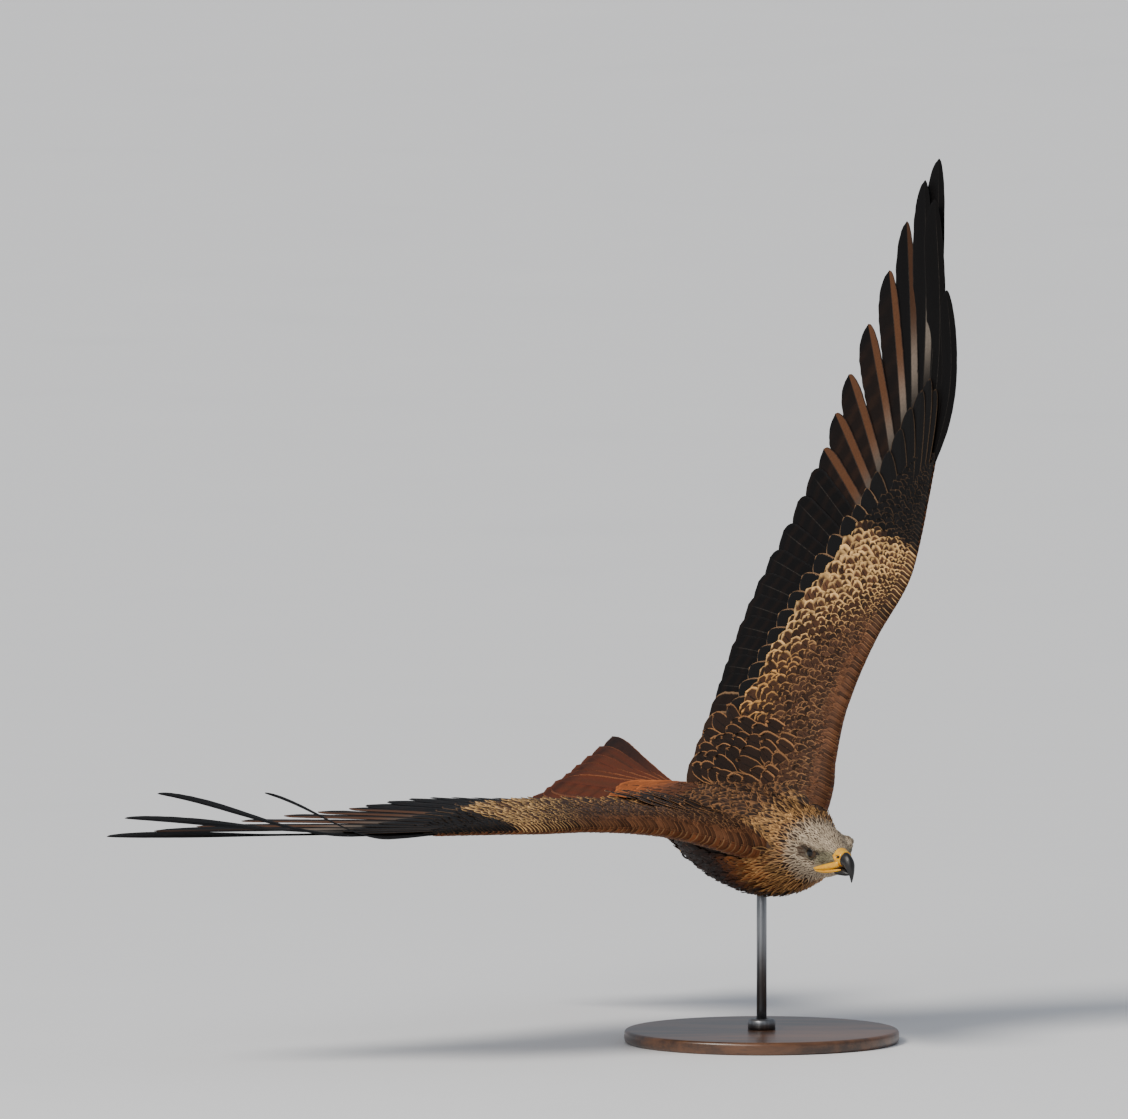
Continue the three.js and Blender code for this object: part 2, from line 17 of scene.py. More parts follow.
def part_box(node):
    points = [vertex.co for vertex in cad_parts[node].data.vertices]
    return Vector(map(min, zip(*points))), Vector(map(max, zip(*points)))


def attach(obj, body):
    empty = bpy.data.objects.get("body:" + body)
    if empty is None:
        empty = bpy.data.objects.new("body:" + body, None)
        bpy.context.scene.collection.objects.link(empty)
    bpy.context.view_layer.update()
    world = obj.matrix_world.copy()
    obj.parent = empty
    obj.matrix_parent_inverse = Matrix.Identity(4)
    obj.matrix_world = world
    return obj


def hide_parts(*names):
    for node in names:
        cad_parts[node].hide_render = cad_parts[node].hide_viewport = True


bl_info = {
    "name": "Red kite on a stand",
    "version": (1, 0, 0),
    "blender": (4, 5, 0),
    "location": "3D View > Sidebar > Red kite",
    "description": "Builds a red kite in feathers over its solids, and the stand that holds it",
    "category": "Object",
}

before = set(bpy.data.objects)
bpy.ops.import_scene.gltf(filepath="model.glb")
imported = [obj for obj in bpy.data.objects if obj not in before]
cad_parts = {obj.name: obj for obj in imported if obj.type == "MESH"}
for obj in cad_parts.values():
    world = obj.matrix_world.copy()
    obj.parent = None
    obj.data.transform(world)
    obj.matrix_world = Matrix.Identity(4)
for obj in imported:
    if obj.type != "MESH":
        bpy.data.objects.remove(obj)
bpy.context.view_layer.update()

# How the bird is held, and the sizes that its solids share
MM = 0.001
HEADING, DIVE, BANK = -57.7, 6.2, 28.3
ROD_UNDER = 34.0
BIRD_HEIGHT = 236.0
SHOULDER = np.array([55.0, 43.0, 22.0])
TAIL_ROOT = np.array([-112.0, 0.0, 5.0])
TAIL_LENGTH = {"middle": 285.0, "outer": 332.0}
TAIL_SPREAD = 19.0
TAIL_TURN = {"yaw": 3.0, "droop": 7.0}
HEAD_AT = np.array([158.0, 0.0, -2.0])
HEAD_SCALE = 1.14
HEAD_TURN = {"yaw": -3.5, "pitch": -1.0, "roll": -25.0}
EYE = {"x": 11.0, "y": 15.0, "z": 4.8, "radius": 8.6}
CERE_END = 43.6
# Step in height from one flight feather to the next, which lets them overlap
LAYER = 0.95


def turned(roll, pitch, yaw):
    """Turn about Z by yaw after Y by pitch after X by roll, in degrees, as a 3 by 3 array."""
    spin = Matrix.Rotation(math.radians(yaw), 3, "Z") @ Matrix.Rotation(math.radians(pitch), 3, "Y")
    return np.array(spin @ Matrix.Rotation(math.radians(roll), 3, "X"))


BIRD_TURN = turned(BANK, DIVE, HEADING)
BIRD_AT = np.array([0.0, 0.0, BIRD_HEIGHT]) - BIRD_TURN @ np.array([ROD_UNDER, 0, 0]) * [1, 1, 0]
HEAD_FRAME = turned(HEAD_TURN["roll"], HEAD_TURN["pitch"], HEAD_TURN["yaw"])
TAIL_FRAME = turned(0, -TAIL_TURN["droop"], TAIL_TURN["yaw"])


def to_world(points):
    """Millimetres in the bird's frame to metres over the stand."""
    return (np.asarray(points) @ BIRD_TURN.T + BIRD_AT) * MM


def on_head(points):
    """The head's own frame to the bird's."""
    return np.asarray(points) * HEAD_SCALE @ HEAD_FRAME.T + HEAD_AT


def in_head(points):
    """The bird's frame to the head's own."""
    return (np.asarray(points) - HEAD_AT) @ HEAD_FRAME / HEAD_SCALE


def on_tail(along, aside, up):
    """Back along the tail, to the bird's left and up, to the bird's frame."""
    local = np.stack(np.broadcast_arrays(-np.asarray(along, float), aside, up), -1)
    return local @ TAIL_FRAME.T + TAIL_ROOT


# Small sums that the shapes share


def mix(low, high, share):
    return low + (high - low) * share


def circle(count):
    """Angles spread evenly round a ring."""
    return np.linspace(0, 2 * math.pi, count, endpoint=False)


def smooth(x, low, high):
    share = np.clip((np.asarray(x, float) - low) / (high - low), 0, 1)
    return share * share * (3 - 2 * share)


def column(x, low, high):
    """smooth() with one axis more, so that colours can be mixed with it."""
    return smooth(x, low, high)[..., None]


def unit(vectors):
    return vectors / np.maximum(np.linalg.norm(vectors, axis=-1, keepdims=True), 1e-9)


def through(stations):
    """Smooth values between stations: each row is a place followed by its values."""
    table = np.array(stations, float)
    places, values = table[:, 0], table[:, 1:]

    def at(x):
        x = np.asarray(x, float)
        i = np.clip(np.searchsorted(places, x, side="right") - 1, 0, len(places) - 2)
        before, after = np.maximum(i - 1, 0), np.minimum(i + 2, len(places) - 1)
        step = (places[i + 1] - places[i])[..., None]
        t = np.clip((x[..., None] - places[i][..., None]) / step, 0, 1)
        slope_in = (values[i + 1] - values[before]) / (places[i + 1] - places[before])[..., None] * step
        slope_out = (values[after] - values[i]) / (places[after] - places[i])[..., None] * step
        bend = (2 * t - 3) * t * t + 1
        curve = t * (1 - t) ** 2 * slope_in - t * t * (1 - t) * slope_out
        return bend * values[i] + (1 - bend) * values[i + 1] + curve

    return at


# Forms that the solids have too: the body, the head, the wings' flesh and the tail's
BODY = through([
    (-134, 5, 18, 8, 20),
    (-108, 4, 38, 15, 40),
    (-68, 2, 54, 28, 58),
    (-20, 0, 64, 39, 66),
    (30, -2, 66, 44, 68),
    (72, -3, 61, 43, 64),
    (102, -1, 52, 38, 57),
    (124, 1, 42, 35, 48),
    (146, 2, 32, 31, 38),
])
SKULL = through([
    (-42, 5, 18, 17, 19),
    (-30, 3, 23, 22, 24),
    (-15, 1, 26, 25.5, 26),
    (0, 0, 26, 26.5, 25),
    (12, 0, 23.4, 25, 22),
    (22, 0, 19, 21.4, 18.5),
    (31, -0.5, 13.4, 16.6, 14.5),
    (38, 0, 9.0, 12.4, 11.4),
])
LEADING = through([
    (-40, 60), (22, 50), (53, 36), (110, 20), (193, 18), (262, 30), (312, 26), (354, 19), (430, 5),
    (495, -1), (560, -36), (668, -114), (712, -146),
])
FLESH_REAR = through([(-40, -64), (40, -84), (150, -78), (240, -60), (310, -38), (392, -8)])
FLESH_DEPTH = through([
    (-40, 18, 24), (53, 13, 16), (150, 9, 10), (262, 7, 7), (330, 5, 4.4), (392, 2.6, 2),
])
HAND_CORE_END = 392.0
TAIL_FLESH = through([(-10, 31, 14, 30), (30, 27, 11, 21), (70, 24, 7.5, 12), (112, 12, 4.4, 4.4)])
CAMBER = {"arm": 10.0, "hand": 4.0, "middle": -95.0, "reach": 130.0}


def oval_ring(centre, wide, above, below, count):
    """Points of an upright oval across the bird, with its own reach above and below."""
    angle = circle(count)
    height = np.where(np.sin(angle) > 0, above, below) * np.sin(angle)
    return np.asarray(centre) + np.stack([0 * height, wide * np.cos(angle), height], -1)


def form_rings(form, first, last, grow, steps, count):
    """Rings along an oval form that is grown, or drawn in, all round."""
    rings = []
    for x in np.linspace(first, last, steps):
        height, *reach = form(x)
        rings.append(oval_ring((x, 0, height), *(r + grow for r in reach), count))
    return np.array(rings)


def body_rings(inset):
    return form_rings(BODY, -134 + inset, 146 - inset, -inset, 70, 72)


EYE_HOLLOW = {"deep": 2.6, "across": 8.5}


def skull_rings(inset):
    """The head's form, with a hollow for each eye."""
    rings = form_rings(SKULL, -42, 38, -inset, 44, 64)
    off = np.hypot(rings[..., 0] - EYE["x"], rings[..., 2] - EYE["z"]) / EYE_HOLLOW["across"]
    deep = EYE_HOLLOW["deep"] * np.exp(-(off**2)) * (np.abs(rings[..., 1]) > 8)
    rings[..., 1] -= np.sign(rings[..., 1]) * deep
    return on_head(rings)


def tapered(points, radii, steps=14, count=12):
    """Rings of a tapered tube along a smooth path."""
    shares = np.linspace(0, 1, len(points))
    t = np.linspace(0, 1, steps)
    line = through([(s, *p) for s, p in zip(shares, points)])(t)
    width = through([(s, r) for s, r in zip(shares, radii)])(t)
    along = unit(np.gradient(line, axis=0))
    side = unit(np.cross(along, [0.0, 0.0, 1.0]))
    over = np.cross(side, along)
    angle = circle(count)[None, :, None]
    around = np.cos(angle) * side[:, None] + np.sin(angle) * over[:, None]
    return line[:, None] + around * width[:, None]


# Wings: a place on one is out along it, fore of the shoulder's line and up off its middle
WINGS = {
    "left": {"side": 1.0, "arm": 36.5, "hand": 45.4, "lift": 12.0, "nose": 0.0, "twist": 0.02},
    "right": {"side": -1.0, "arm": 31.8, "hand": 26.6, "lift": 52.0, "nose": 9.0, "twist": 0.13},
}
WRIST_OUT, REACH = 262.0, 760.0
PATH_STEP = 4.0


class WingSurface:
    """The curved sheet that a wing is laid out on, rolled along the bird's own axis."""

    def __init__(self, pose):
        self.side, self.lift = pose["side"], pose["lift"]
        self.nose, self.twist = pose["nose"], pose["twist"]
        self.out = np.arange(-40, REACH, PATH_STEP)
        blend_at = smooth(self.out, WRIST_OUT - 60, WRIST_OUT + 60)
        self.rise = np.radians(mix(pose["arm"], pose["hand"], blend_at))
        start = math.radians(pose["arm"])
        step_y, step_z = PATH_STEP * np.cos(self.rise), PATH_STEP * np.sin(self.rise)
        self.y = -40 * math.cos(start) + np.concatenate([[0], np.cumsum(step_y)[:-1]])
        self.z = -40 * math.sin(start) + np.concatenate([[0], np.cumsum(step_z)[:-1]])

    def at(self, out, fore, up):
        """Points of the bird's frame at places on the wing."""
        out, fore, up = np.broadcast_arrays(out, fore, up)
        rise = np.interp(out, self.out, self.rise)
        bowed = 1 - ((fore - CAMBER["middle"]) / CAMBER["reach"]) ** 2
        lifted = up + mix(CAMBER["arm"], CAMBER["hand"], smooth(out, 150, 450)) * bowed
        reared = np.clip((fore + 150) / 170, -0.2, 1.1) * smooth(out, -20, 110)
        lifted = lifted + self.nose * reared * mix(1, 1.35, smooth(out, 200, 440))
        across = np.interp(out, self.out, self.y) - lifted * np.sin(rise)
        high = np.interp(out, self.out, self.z) + lifted * np.cos(rise)
        return np.stack([fore, self.side * across, high], -1) + SHOULDER * [1, self.side, 1]


def flesh_height(out, fore, below=False):
    """How far the wing's flesh stands off its middle sheet."""
    front, back = LEADING(out)[..., 0], FLESH_REAR(out)[..., 0]
    share = np.clip((front - fore) / (front - back), 0, 1)
    reach = FLESH_DEPTH(out)[..., 1 if below else 0]
    inside = np.maximum(reach * 2.6 * np.sqrt(share) * (1 - share), 0)
    return np.where(out < HAND_CORE_END, inside, 0)


def wing_rings(surface, inset, steps=60):
    rings = []
    shares = 0.5 - 0.5 * np.cos(np.linspace(0, math.pi, 15))
    for out in np.linspace(-30, HAND_CORE_END - 4, steps):
        front, back = LEADING(out)[0] - inset, FLESH_REAR(out)[0] + 8 * inset
        fore = mix(front, back, shares)
        top = np.maximum(flesh_height(np.full_like(fore, out), fore) - inset, 0.4)
        low = np.maximum(flesh_height(np.full_like(fore, out), fore, True) - inset, 0.4)
        upper = surface.at(out, fore, np.where(shares > 0, top, 0))
        lower = surface.at(out, fore[1:], -low[1:])[::-1]
        rings.append(np.concatenate([upper, lower]))
    return np.array(rings)


# Flight feathers, counted from the innermost tertial, 0, out to the tenth primary
ARM_FEATHERS, HAND_FEATHERS = 14, 10
ALL_FEATHERS = ARM_FEATHERS + HAND_FEATHERS
ARM_TIPS = through([(0, -6, -210), (3, 66, -220), (7, 158, -238), (10, 240, -238), (13, 342, -211)])
HAND_TIPS = through([
    (1, 371, -201), (3, 457, -197), (5, 579, -180), (6, 636, -175), (7, 685, -157), (8, 712, -149),
    (9, 669, -117), (10, 578, -44),
])
NEAREST_SHAFTS = 7.0


def flight_feather(i):
    """Root and tip of flight feather i, and its widths, as the solids have them."""
    if i < ARM_FEATHERS:
        share = i / (ARM_FEATHERS - 1)
        root = np.array([mix(26, 266, share), mix(-46, -20, share)])
        widths = {"lead": 15, "trail": 30, "notch": 0.0, "round_from": 0.87}
        return {"number": 0, "root": root, "tip": ARM_TIPS(i), "bow": 3, "lifted": 0.0, **widths}
    number = i - ARM_FEATHERS + 1
    share = (number - 1) / (HAND_FEATHERS - 1)
    return {
        "number": number,
        "root": np.array([mix(277, 374, share), mix(-16, 6, share)]),
        "tip": HAND_TIPS(number),
        "lead": 9 if number > 8 else 11,
        "trail": 20 if number > 9 else 29,
        "notch": 0.05 if number > 5 else 0.0,
        "round_from": 0.76 if number in (6, 7, 9, 10) else 0.82,
        "bow": 4 + 15 * share**2,
        "lifted": {7: 0.4, 8: 0.05, 9: 1.0, 10: 1.05}.get(number, 0.0),
    }


def vane_width(t, round_from):
    """Share of a vane's full width at t, from 0 at its quill to 1 at its tip."""
    past = np.clip((t - round_from) / (1 - round_from), 0, 1)
    return mix(0.3, 1, smooth(t, 0, 0.3)) * np.maximum(np.sqrt(1 - past**2.2), 0.05)


def shaft_path(i, pose_lift):
    """Feather i, and what lays its points on the wing from the share along, aside and height."""
    feather = flight_feather(i)
    beside = flight_feather(i + 1 if i + 1 < ALL_FEATHERS else i - 1)
    run = feather["tip"] - feather["root"]
    inward = np.array([run[1], -run[0]]) / float(np.hypot(*run))
    near, far = (beside[end] - feather[end] for end in ("root", "tip"))

    def place(share, aside, height):
        apart = mix(near, far, np.asarray(share)[..., None]) @ inward
        spacing = np.maximum(np.abs(apart), NEAREST_SHAFTS)
        inside = aside - feather["bow"] * 4 * share * (1 - share)
        out, fore = (feather["root"][k] + run[k] * share + inside * inward[k] for k in (0, 1))
        lift = pose_lift * feather["lifted"] * smooth(share, 0.35, 1.1)
        return out, fore, lift + height - aside * LAYER / spacing

    return feather, place


# Meshes


def loft_faces(rings, count, start=0):
    """Faces of a skin through closed rings, with a flat cap at each end."""
    j, k = np.meshgrid(np.arange(rings - 1), np.arange(count), indexing="ij")
    a, b = j * count + k, j * count + (k + 1) % count
    quads = np.stack([a, b, b + count, a + count], -1).reshape(-1, 4) + start
    caps = [
        (np.arange(count)[::-1] + start).tolist(),
        (np.arange(count) + start + (rings - 1) * count).tolist(),
    ]
    return quads.tolist() + caps


def shown(name, data):
    """A new object of the scene."""
    made = bpy.data.objects.new(name, data)
    bpy.context.scene.collection.objects.link(made)
    return made


def smooth_faces(mesh):
    mesh.polygons.foreach_set("use_smooth", [True] * len(mesh.polygons))
    mesh.update()


def new_mesh(name, points, faces, *materials):
    mesh = bpy.data.meshes.new(name)
    mesh.from_pydata(np.asarray(points).reshape(-1, 3).tolist(), [], faces)
    smooth_faces(mesh)
    for material in materials:
        mesh.materials.append(material)
    return shown(name, mesh)


def lofts_mesh(name, forms, *materials, place=to_world):
    """One mesh of several lofts, each an array of rings in the bird's frame."""
    points, faces, start = [], [], 0
    for rings in forms:
        faces += loft_faces(len(rings), rings.shape[1], start)
        points.append(rings.reshape(-1, 3))
        start += rings.shape[0] * rings.shape[1]
    return new_mesh(name, place(np.concatenate(points)), faces, *materials)


def grid_faces(rows, cols, backwards=False):
    i, j = np.meshgrid(np.arange(rows - 1), np.arange(cols - 1), indexing="ij")
    a = i * cols + j
    quads = np.stack([a, a + 1, a + cols + 1, a + cols], -1).reshape(-1, 4)
    return quads[:, ::-1] if backwards else quads


def rim_faces(rows, cols):
    """The narrow band that joins the edges of two grids, the second laid after the first."""
    edge = np.concatenate([
        np.arange(cols),
        np.arange(1, rows) * cols + cols - 1,
        (rows - 1) * cols + np.arange(cols - 2, -1, -1),
        np.arange(rows - 2, 0, -1) * cols,
    ])
    following = np.roll(edge, -1)
    return np.stack([edge, edge + rows * cols, following + rows * cols, following], -1)


class Plumage:
    """Many feathers gathered into one mesh, with the markings that its material reads."""

    widths = {"points": 3, "vane": 2, "bake": 2, "centre": 4, "fringe": 4, "streak": 4}

    def __init__(self):
        self.faces, self.count = [], 0
        self.parts = {key: [] for key in self.widths}

    def lay(self, points, bake, centre, fringe, streak, under=None, under_centre=None):
        """Adds sheets of rows by cols points. With `under`, each becomes a closed thin vane."""
        sheets, rows, cols, _ = points.shape
        v, u = np.meshgrid(np.linspace(0, 1, rows), np.linspace(0, 1, cols), indexing="ij")
        marks = {"vane": np.stack([u, v], -1), "fringe": fringe, "streak": streak}
        layers = [{"points": points, "bake": bake(u, v, 0), "centre": centre, **marks}]
        faces = grid_faces(rows, cols)
        if under is not None:
            layers.append({"points": under, "bake": bake(u, v, 1), "centre": under_centre, **marks})
            back = grid_faces(rows, cols, True) + rows * cols
            faces = np.concatenate([faces, back, rim_faces(rows, cols)[:, ::-1]])
        per_sheet = rows * cols * len(layers)
        starts = self.count + np.arange(sheets) * per_sheet
        self.faces.append((faces[None] + starts[:, None, None]).reshape(-1, 4))
        for key, wide in self.widths.items():
            stack = [np.broadcast_to(layer[key], (sheets, rows, cols, wide)) for layer in layers]
            self.parts[key].append(np.stack(stack, 1).reshape(-1, wide))
        self.count += sheets * per_sheet

    def build(self, name, material):
        data = {key: np.concatenate(value) for key, value in self.parts.items()}
        made = new_mesh(name, to_world(data["points"]), np.concatenate(self.faces).tolist(), material)
        mesh = made.data
        corners = np.empty(len(mesh.loops), int)
        mesh.loops.foreach_get("vertex_index", corners)
        for layer, key in (("vane", "vane"), ("OFBake", "bake")):
            mesh.uv_layers.new(name=layer).data.foreach_set("uv", data[key][corners].ravel())
        for key in ("centre", "fringe", "streak"):
            colour_points(mesh, key, data[key])
        return made


def colour_points(mesh, name, values):
    """A colour for each point of a mesh, for its material to read."""
    mesh.attributes.new(name, "FLOAT_COLOR", "POINT").data.foreach_set("color", values.ravel())


# Width of a small feather's patch on OFBake, and how far its vane droops and its tip is torn
PATCH = 0.003
CAMBERED, FRAY = 0.14, 0.08


def tuft_patches(places):
    """OFBake for small feathers: a patch at each root's place on the skin's own unwrap."""
    corners = np.asarray(places)[:, None, None, :]

    def bake(u, v, side):
        return corners + PATCH * np.stack([u - 0.5, v - 0.5], -1)

    return bake


def strip_patch(number, total):
    """OFBake for a flight feather: a strip of its own, its two faces side by side."""

    def bake(u, v, side):
        across = (number + 0.05 + (u + side) * 0.45) * (1.0 / total)
        return np.stack([across, 0.02 + 0.96 * v], -1)

    return bake


def patches(points, across, seed=1):
    """Slow drifts between -1 and 1 over places, `across` wide."""
    rng = np.random.default_rng(seed)
    points = np.asarray(points, float).reshape(len(points), -1)
    waves = unit(rng.standard_normal((7, points.shape[1]))) * 2 * math.pi / across
    waves = waves * rng.uniform(0.6, 1.7, (7, 1))
    return np.sin(points @ waves.T + rng.uniform(0, 2 * math.pi, 7)).mean(1) * 1.6


def pale(colour, rng, count, spread=0.12, alpha=1.0, drift=0.0):
    """A colour for each of `count` feathers, with a little chance in its brightness."""
    shade = 1 + spread * rng.standard_normal((count, 1)) + np.reshape(drift, (-1, 1))
    rgb = np.clip(np.broadcast_to(colour, (count, 3)) * np.clip(shade, 0.5, 1.7), 0, 1)
    alpha = np.broadcast_to(np.reshape(alpha, (-1, 1)), (count, 1))
    return np.concatenate([rgb, alpha], 1)[:, None, None, :]


def leaf(rows, cols, tip, point=0.5):
    """Rows and columns of a small feather: half width along it and places across it."""
    v = np.linspace(0, 1, rows)
    past = np.clip((v - tip) / (1 - tip), 0, 1)
    width = mix(0.45, 1, smooth(v, 0, 0.45)) * np.maximum((1 - past**2) ** point, 0.1)
    return v, width, np.linspace(-1, 1, cols)


def sheets_on(places, ups, length, half, lift, rng, cols=7, tip=0.62, tilt=0.5, point=0.5):
    """Feather sheets along paths on the skin: places and ways up are feathers by rows by 3."""
    count, rows, _ = places.shape
    v, width, across = leaf(rows, cols, tip, point)
    along = unit(np.gradient(places, axis=1))
    side = unit(np.cross(ups, along))
    reach = (half[:, None] * width)[..., None] * across
    rise = lift[:, None] * (0.2 + 0.8 * v)[None]
    bowl = rise[..., None] - CAMBERED * np.abs(reach) * np.abs(across)
    lean = tilt * np.where(places[:, :1, 1] > 0, 1.0, -1.0)[..., None]
    bowl = bowl + lean * across * np.minimum(1, lift / 3)[:, None, None]
    frayed = rng.uniform(-FRAY, FRAY, (count, 1, cols)) * length[:, None, None]
    frayed = frayed * smooth(v, 0.5, 1)[None, :, None]
    offsets = ((side, reach), (ups, bowl), (along, frayed))
    return places[:, :, None] + sum(way[:, :, None] * size[..., None] for way, size in offsets)


def follow(surface, roots, headings, lengths, rows):
    """Paths of feathers that start at their roots and keep on the surface."""
    places = np.empty((len(roots), rows, 3))
    ups = np.empty_like(places)
    for i, (root, heading, length) in enumerate(zip(roots, headings, lengths)):
        point, way = Vector(root), Vector(heading)
        for j in range(rows):
            spot, up, _, _ = surface.find_nearest(point)
            way = (way - up * way.dot(up)).normalized()
            places[i, j], ups[i, j] = spot, up
            point = spot + way * (length / (rows - 1))
    eased = ups.copy()
    eased[:, 1:-1] += ups[:, :-2] + ups[:, 2:]
    return places, unit(eased)


# Colours, as red, green and blue from 0 to 255


def paint(red, green, blue):
    """A colour as Blender's linear numbers."""
    share = np.array([red, green, blue]) / 255
    return np.where(share <= 0.04045, share / 12.92, ((share + 0.055) / 1.055) ** 2.4)


def tint(name, description, *rgb):
    """A colour that a user may change."""
    plain = tuple(float(c) for c in paint(*rgb))
    about = {"name": name, "description": description, "default": plain}
    return FloatVectorProperty(subtype="COLOR", size=3, min=0, max=1, **about)


def measure(name, description, default):
    """A length, in metres, that a user may change."""
    return FloatProperty(name=name, description=description, default=default, unit="LENGTH")


class KiteColours(bpy.types.PropertyGroup):
    """Colours of the plumage and the bare parts."""

    crown: tint("Crown", "Whitish grey of the head's feathers", 186, 168, 144)
    face: tint("Face", "Greenish grey before the eye", 120, 116, 92)
    head_streak: tint("Head streaks", "Dark shafts of the head's feathers", 70, 52, 40)
    neck: tint("Neck", "Rufous buff of the neck", 98, 64, 40)
    neck_fringe: tint("Neck fringes", "Pale edges of the neck's feathers", 204, 156, 98)
    mantle: tint("Mantle", "Dark brown of the back", 54, 37, 27)
    mantle_fringe: tint("Mantle fringes", "Buff edges of the back's feathers", 150, 106, 68)
    shoulder: tint("Shoulder", "Orange buff at the side of the neck", 150, 84, 36)
    breast: tint("Breast", "Rufous of the breast", 98, 54, 28)
    # Painted shade: the belly's deep rufous is darkened nearly to black for the shadow under the body.
    belly: tint("Belly", "Deep rufous of the belly", 40, 21, 13)
    body_streak: tint("Body streaks", "Dark shafts of the body's feathers", 24, 15, 11)
    rump: tint("Rump", "Rufous brown above the tail", 86, 50, 29)
    tail_cover: tint("Tail coverts", "Orange of the coverts over the tail", 146, 80, 38)
    band: tint("Wing band", "Cream of the upper wing's band", 208, 166, 108)
    band_dark: tint("Wing band middles", "Dark middles of the band's feathers", 62, 39, 24)
    forewing: tint("Forewing", "Rufous brown of the front of the wing", 62, 40, 27)
    forewing_fringe: tint("Forewing fringes", "Pale edges of the forewing's feathers", 136, 98, 64)
    edge: tint("Leading edge", "Orange of the wing's leading edge", 100, 62, 38)
    quill: tint("Flight feathers", "Black of the flight feathers", 10, 8, 8)
    bar: tint("Primary vanes", "Rufous of the inner primaries' outer vanes", 92, 60, 40)
    glint: tint("Primary roots", "Pale grey brown near the primaries' roots", 150, 138, 126)
    covert_fringe: tint("Covert fringes", "Pale tips of the greater coverts", 150, 116, 84)
    under_pale: tint("Window", "Whitish patch under the primaries", 190, 180, 168)
    under_grey: tint("Under flight feathers", "Grey under the secondaries", 78, 68, 62)
    tail: tint("Tail", "Brick red of the tail", 94, 43, 21)
    tail_under: tint("Tail below", "Pale rufous under the tail", 150, 98, 66)
    tail_tip: tint("Tail tips", "Buff ends of the tail feathers", 146, 88, 54)
    cere: tint("Cere", "Yellow of the cere and lips", 222, 166, 20)
    foot: tint("Feet", "Yellow of the feet", 214, 156, 36)


class KiteSizes(bpy.types.PropertyGroup):
    """Sizes that a user would change."""

    coat: measure("Coat", "Depth of the body's feathers over the skin", 0.0045)
    head_coat: measure("Head coat", "Depth of the head's feathers", 0.0024)
    neck_feather: measure("Neck feather", "Length of a neck feather", 0.019)
    back_feather: measure("Back feather", "Length of a back feather", 0.027)
    head_feather: measure("Head feather", "Length of a crown feather", 0.0095)
    camera_distance: measure("Camera distance", "From the bird to the camera", 40.0)
    seed: IntProperty(name="Seed", description="Start of every chance draw", default=7)


def colours():
    """The colour settings by name, as arrays."""
    settings = bpy.context.scene.kite_colours
    return {key: np.array(getattr(settings, key)) for key in KiteColours.__annotations__}


def sizes():
    return bpy.context.scene.kite_sizes


def chance(piece):
    """A seeded source of chance for one piece."""
    return np.random.default_rng([sizes().seed, *piece.encode()])


# Materials, whose nodes stand in columns in the order that they are made
NODES_DOWN, NODE_WIDE = 6, 240.0


def feed(tree, slot, value):
    """Sets an input to a number or colour, or links another node's output to it."""
    if isinstance(value, bpy.types.NodeSocket):
        tree.links.new(value, slot)
    else:
        slot.default_value = value


def node(tree, kind, *values, inputs=None, **settings):
    """A new node beside the last, with its inputs given in order or by name."""
    made = tree.nodes.new(kind)
    across, down = divmod(len(tree.nodes), NODES_DOWN)
    made.location = (across * NODE_WIDE, -down * NODE_WIDE)
    for key, value in settings.items():
        setattr(made, key, value)
    for key, value in [*enumerate(values), *(inputs or {}).items()]:
        feed(tree, made.inputs[key], value)
    return made


def shader_group(name, inputs):
    """A new node group: its tree, what it is given, and its colour, height and roughness."""
    tree = bpy.data.node_groups.new(name, "ShaderNodeTree")
    for key, default in inputs.items():
        kind = {1: "NodeSocketFloat", 3: "NodeSocketVector", 4: "NodeSocketColor"}[np.size(default)]
        made = tree.interface.new_socket(name=key, in_out="INPUT", socket_type=kind)
        made.default_value = default
    for key, kind in (("Color", "Color"), ("Height", "Float"), ("Roughness", "Float")):
        tree.interface.new_socket(name=key, in_out="OUTPUT", socket_type="NodeSocket" + kind)
    return tree, node(tree, "NodeGroupInput").outputs, node(tree, "NodeGroupOutput").inputs


def calc(tree, kind, *values):
    """A Math node on sockets or numbers."""
    return node(tree, "ShaderNodeMath", *values, operation=kind).outputs[0]


def ramp_down(tree, value, low, high):
    """1 where value is under low, 0 where it is over high, smooth between."""
    ends = {"Value": value, "From Min": low, "From Max": high, "To Min": 1, "To Max": 0}
    made = node(tree, "ShaderNodeMapRange", inputs=ends, interpolation_type="SMOOTHSTEP")
    return made.outputs["Result"]


def blend(tree, share, first, second):
    mixed = {0: share, 6: first, 7: second}
    return node(tree, "ShaderNodeMix", inputs=mixed, data_type="RGBA").outputs[2]


def scaled(tree, colour, share):
    """A colour made darker or brighter."""
    made = node(tree, "ShaderNodeVectorMath", colour, inputs={"Scale": share}, operation="SCALE")
    return made.outputs[0]


def noise(tree, vector, scale, detail=2.0, roughness=0.5):
    values = {"Vector": vector, "Scale": scale, "Detail": detail, "Roughness": roughness}
    return node(tree, "ShaderNodeTexNoise", inputs=values).outputs["Fac"]


def object_place(tree):
    return node(tree, "ShaderNodeTexCoord").outputs["Object"]


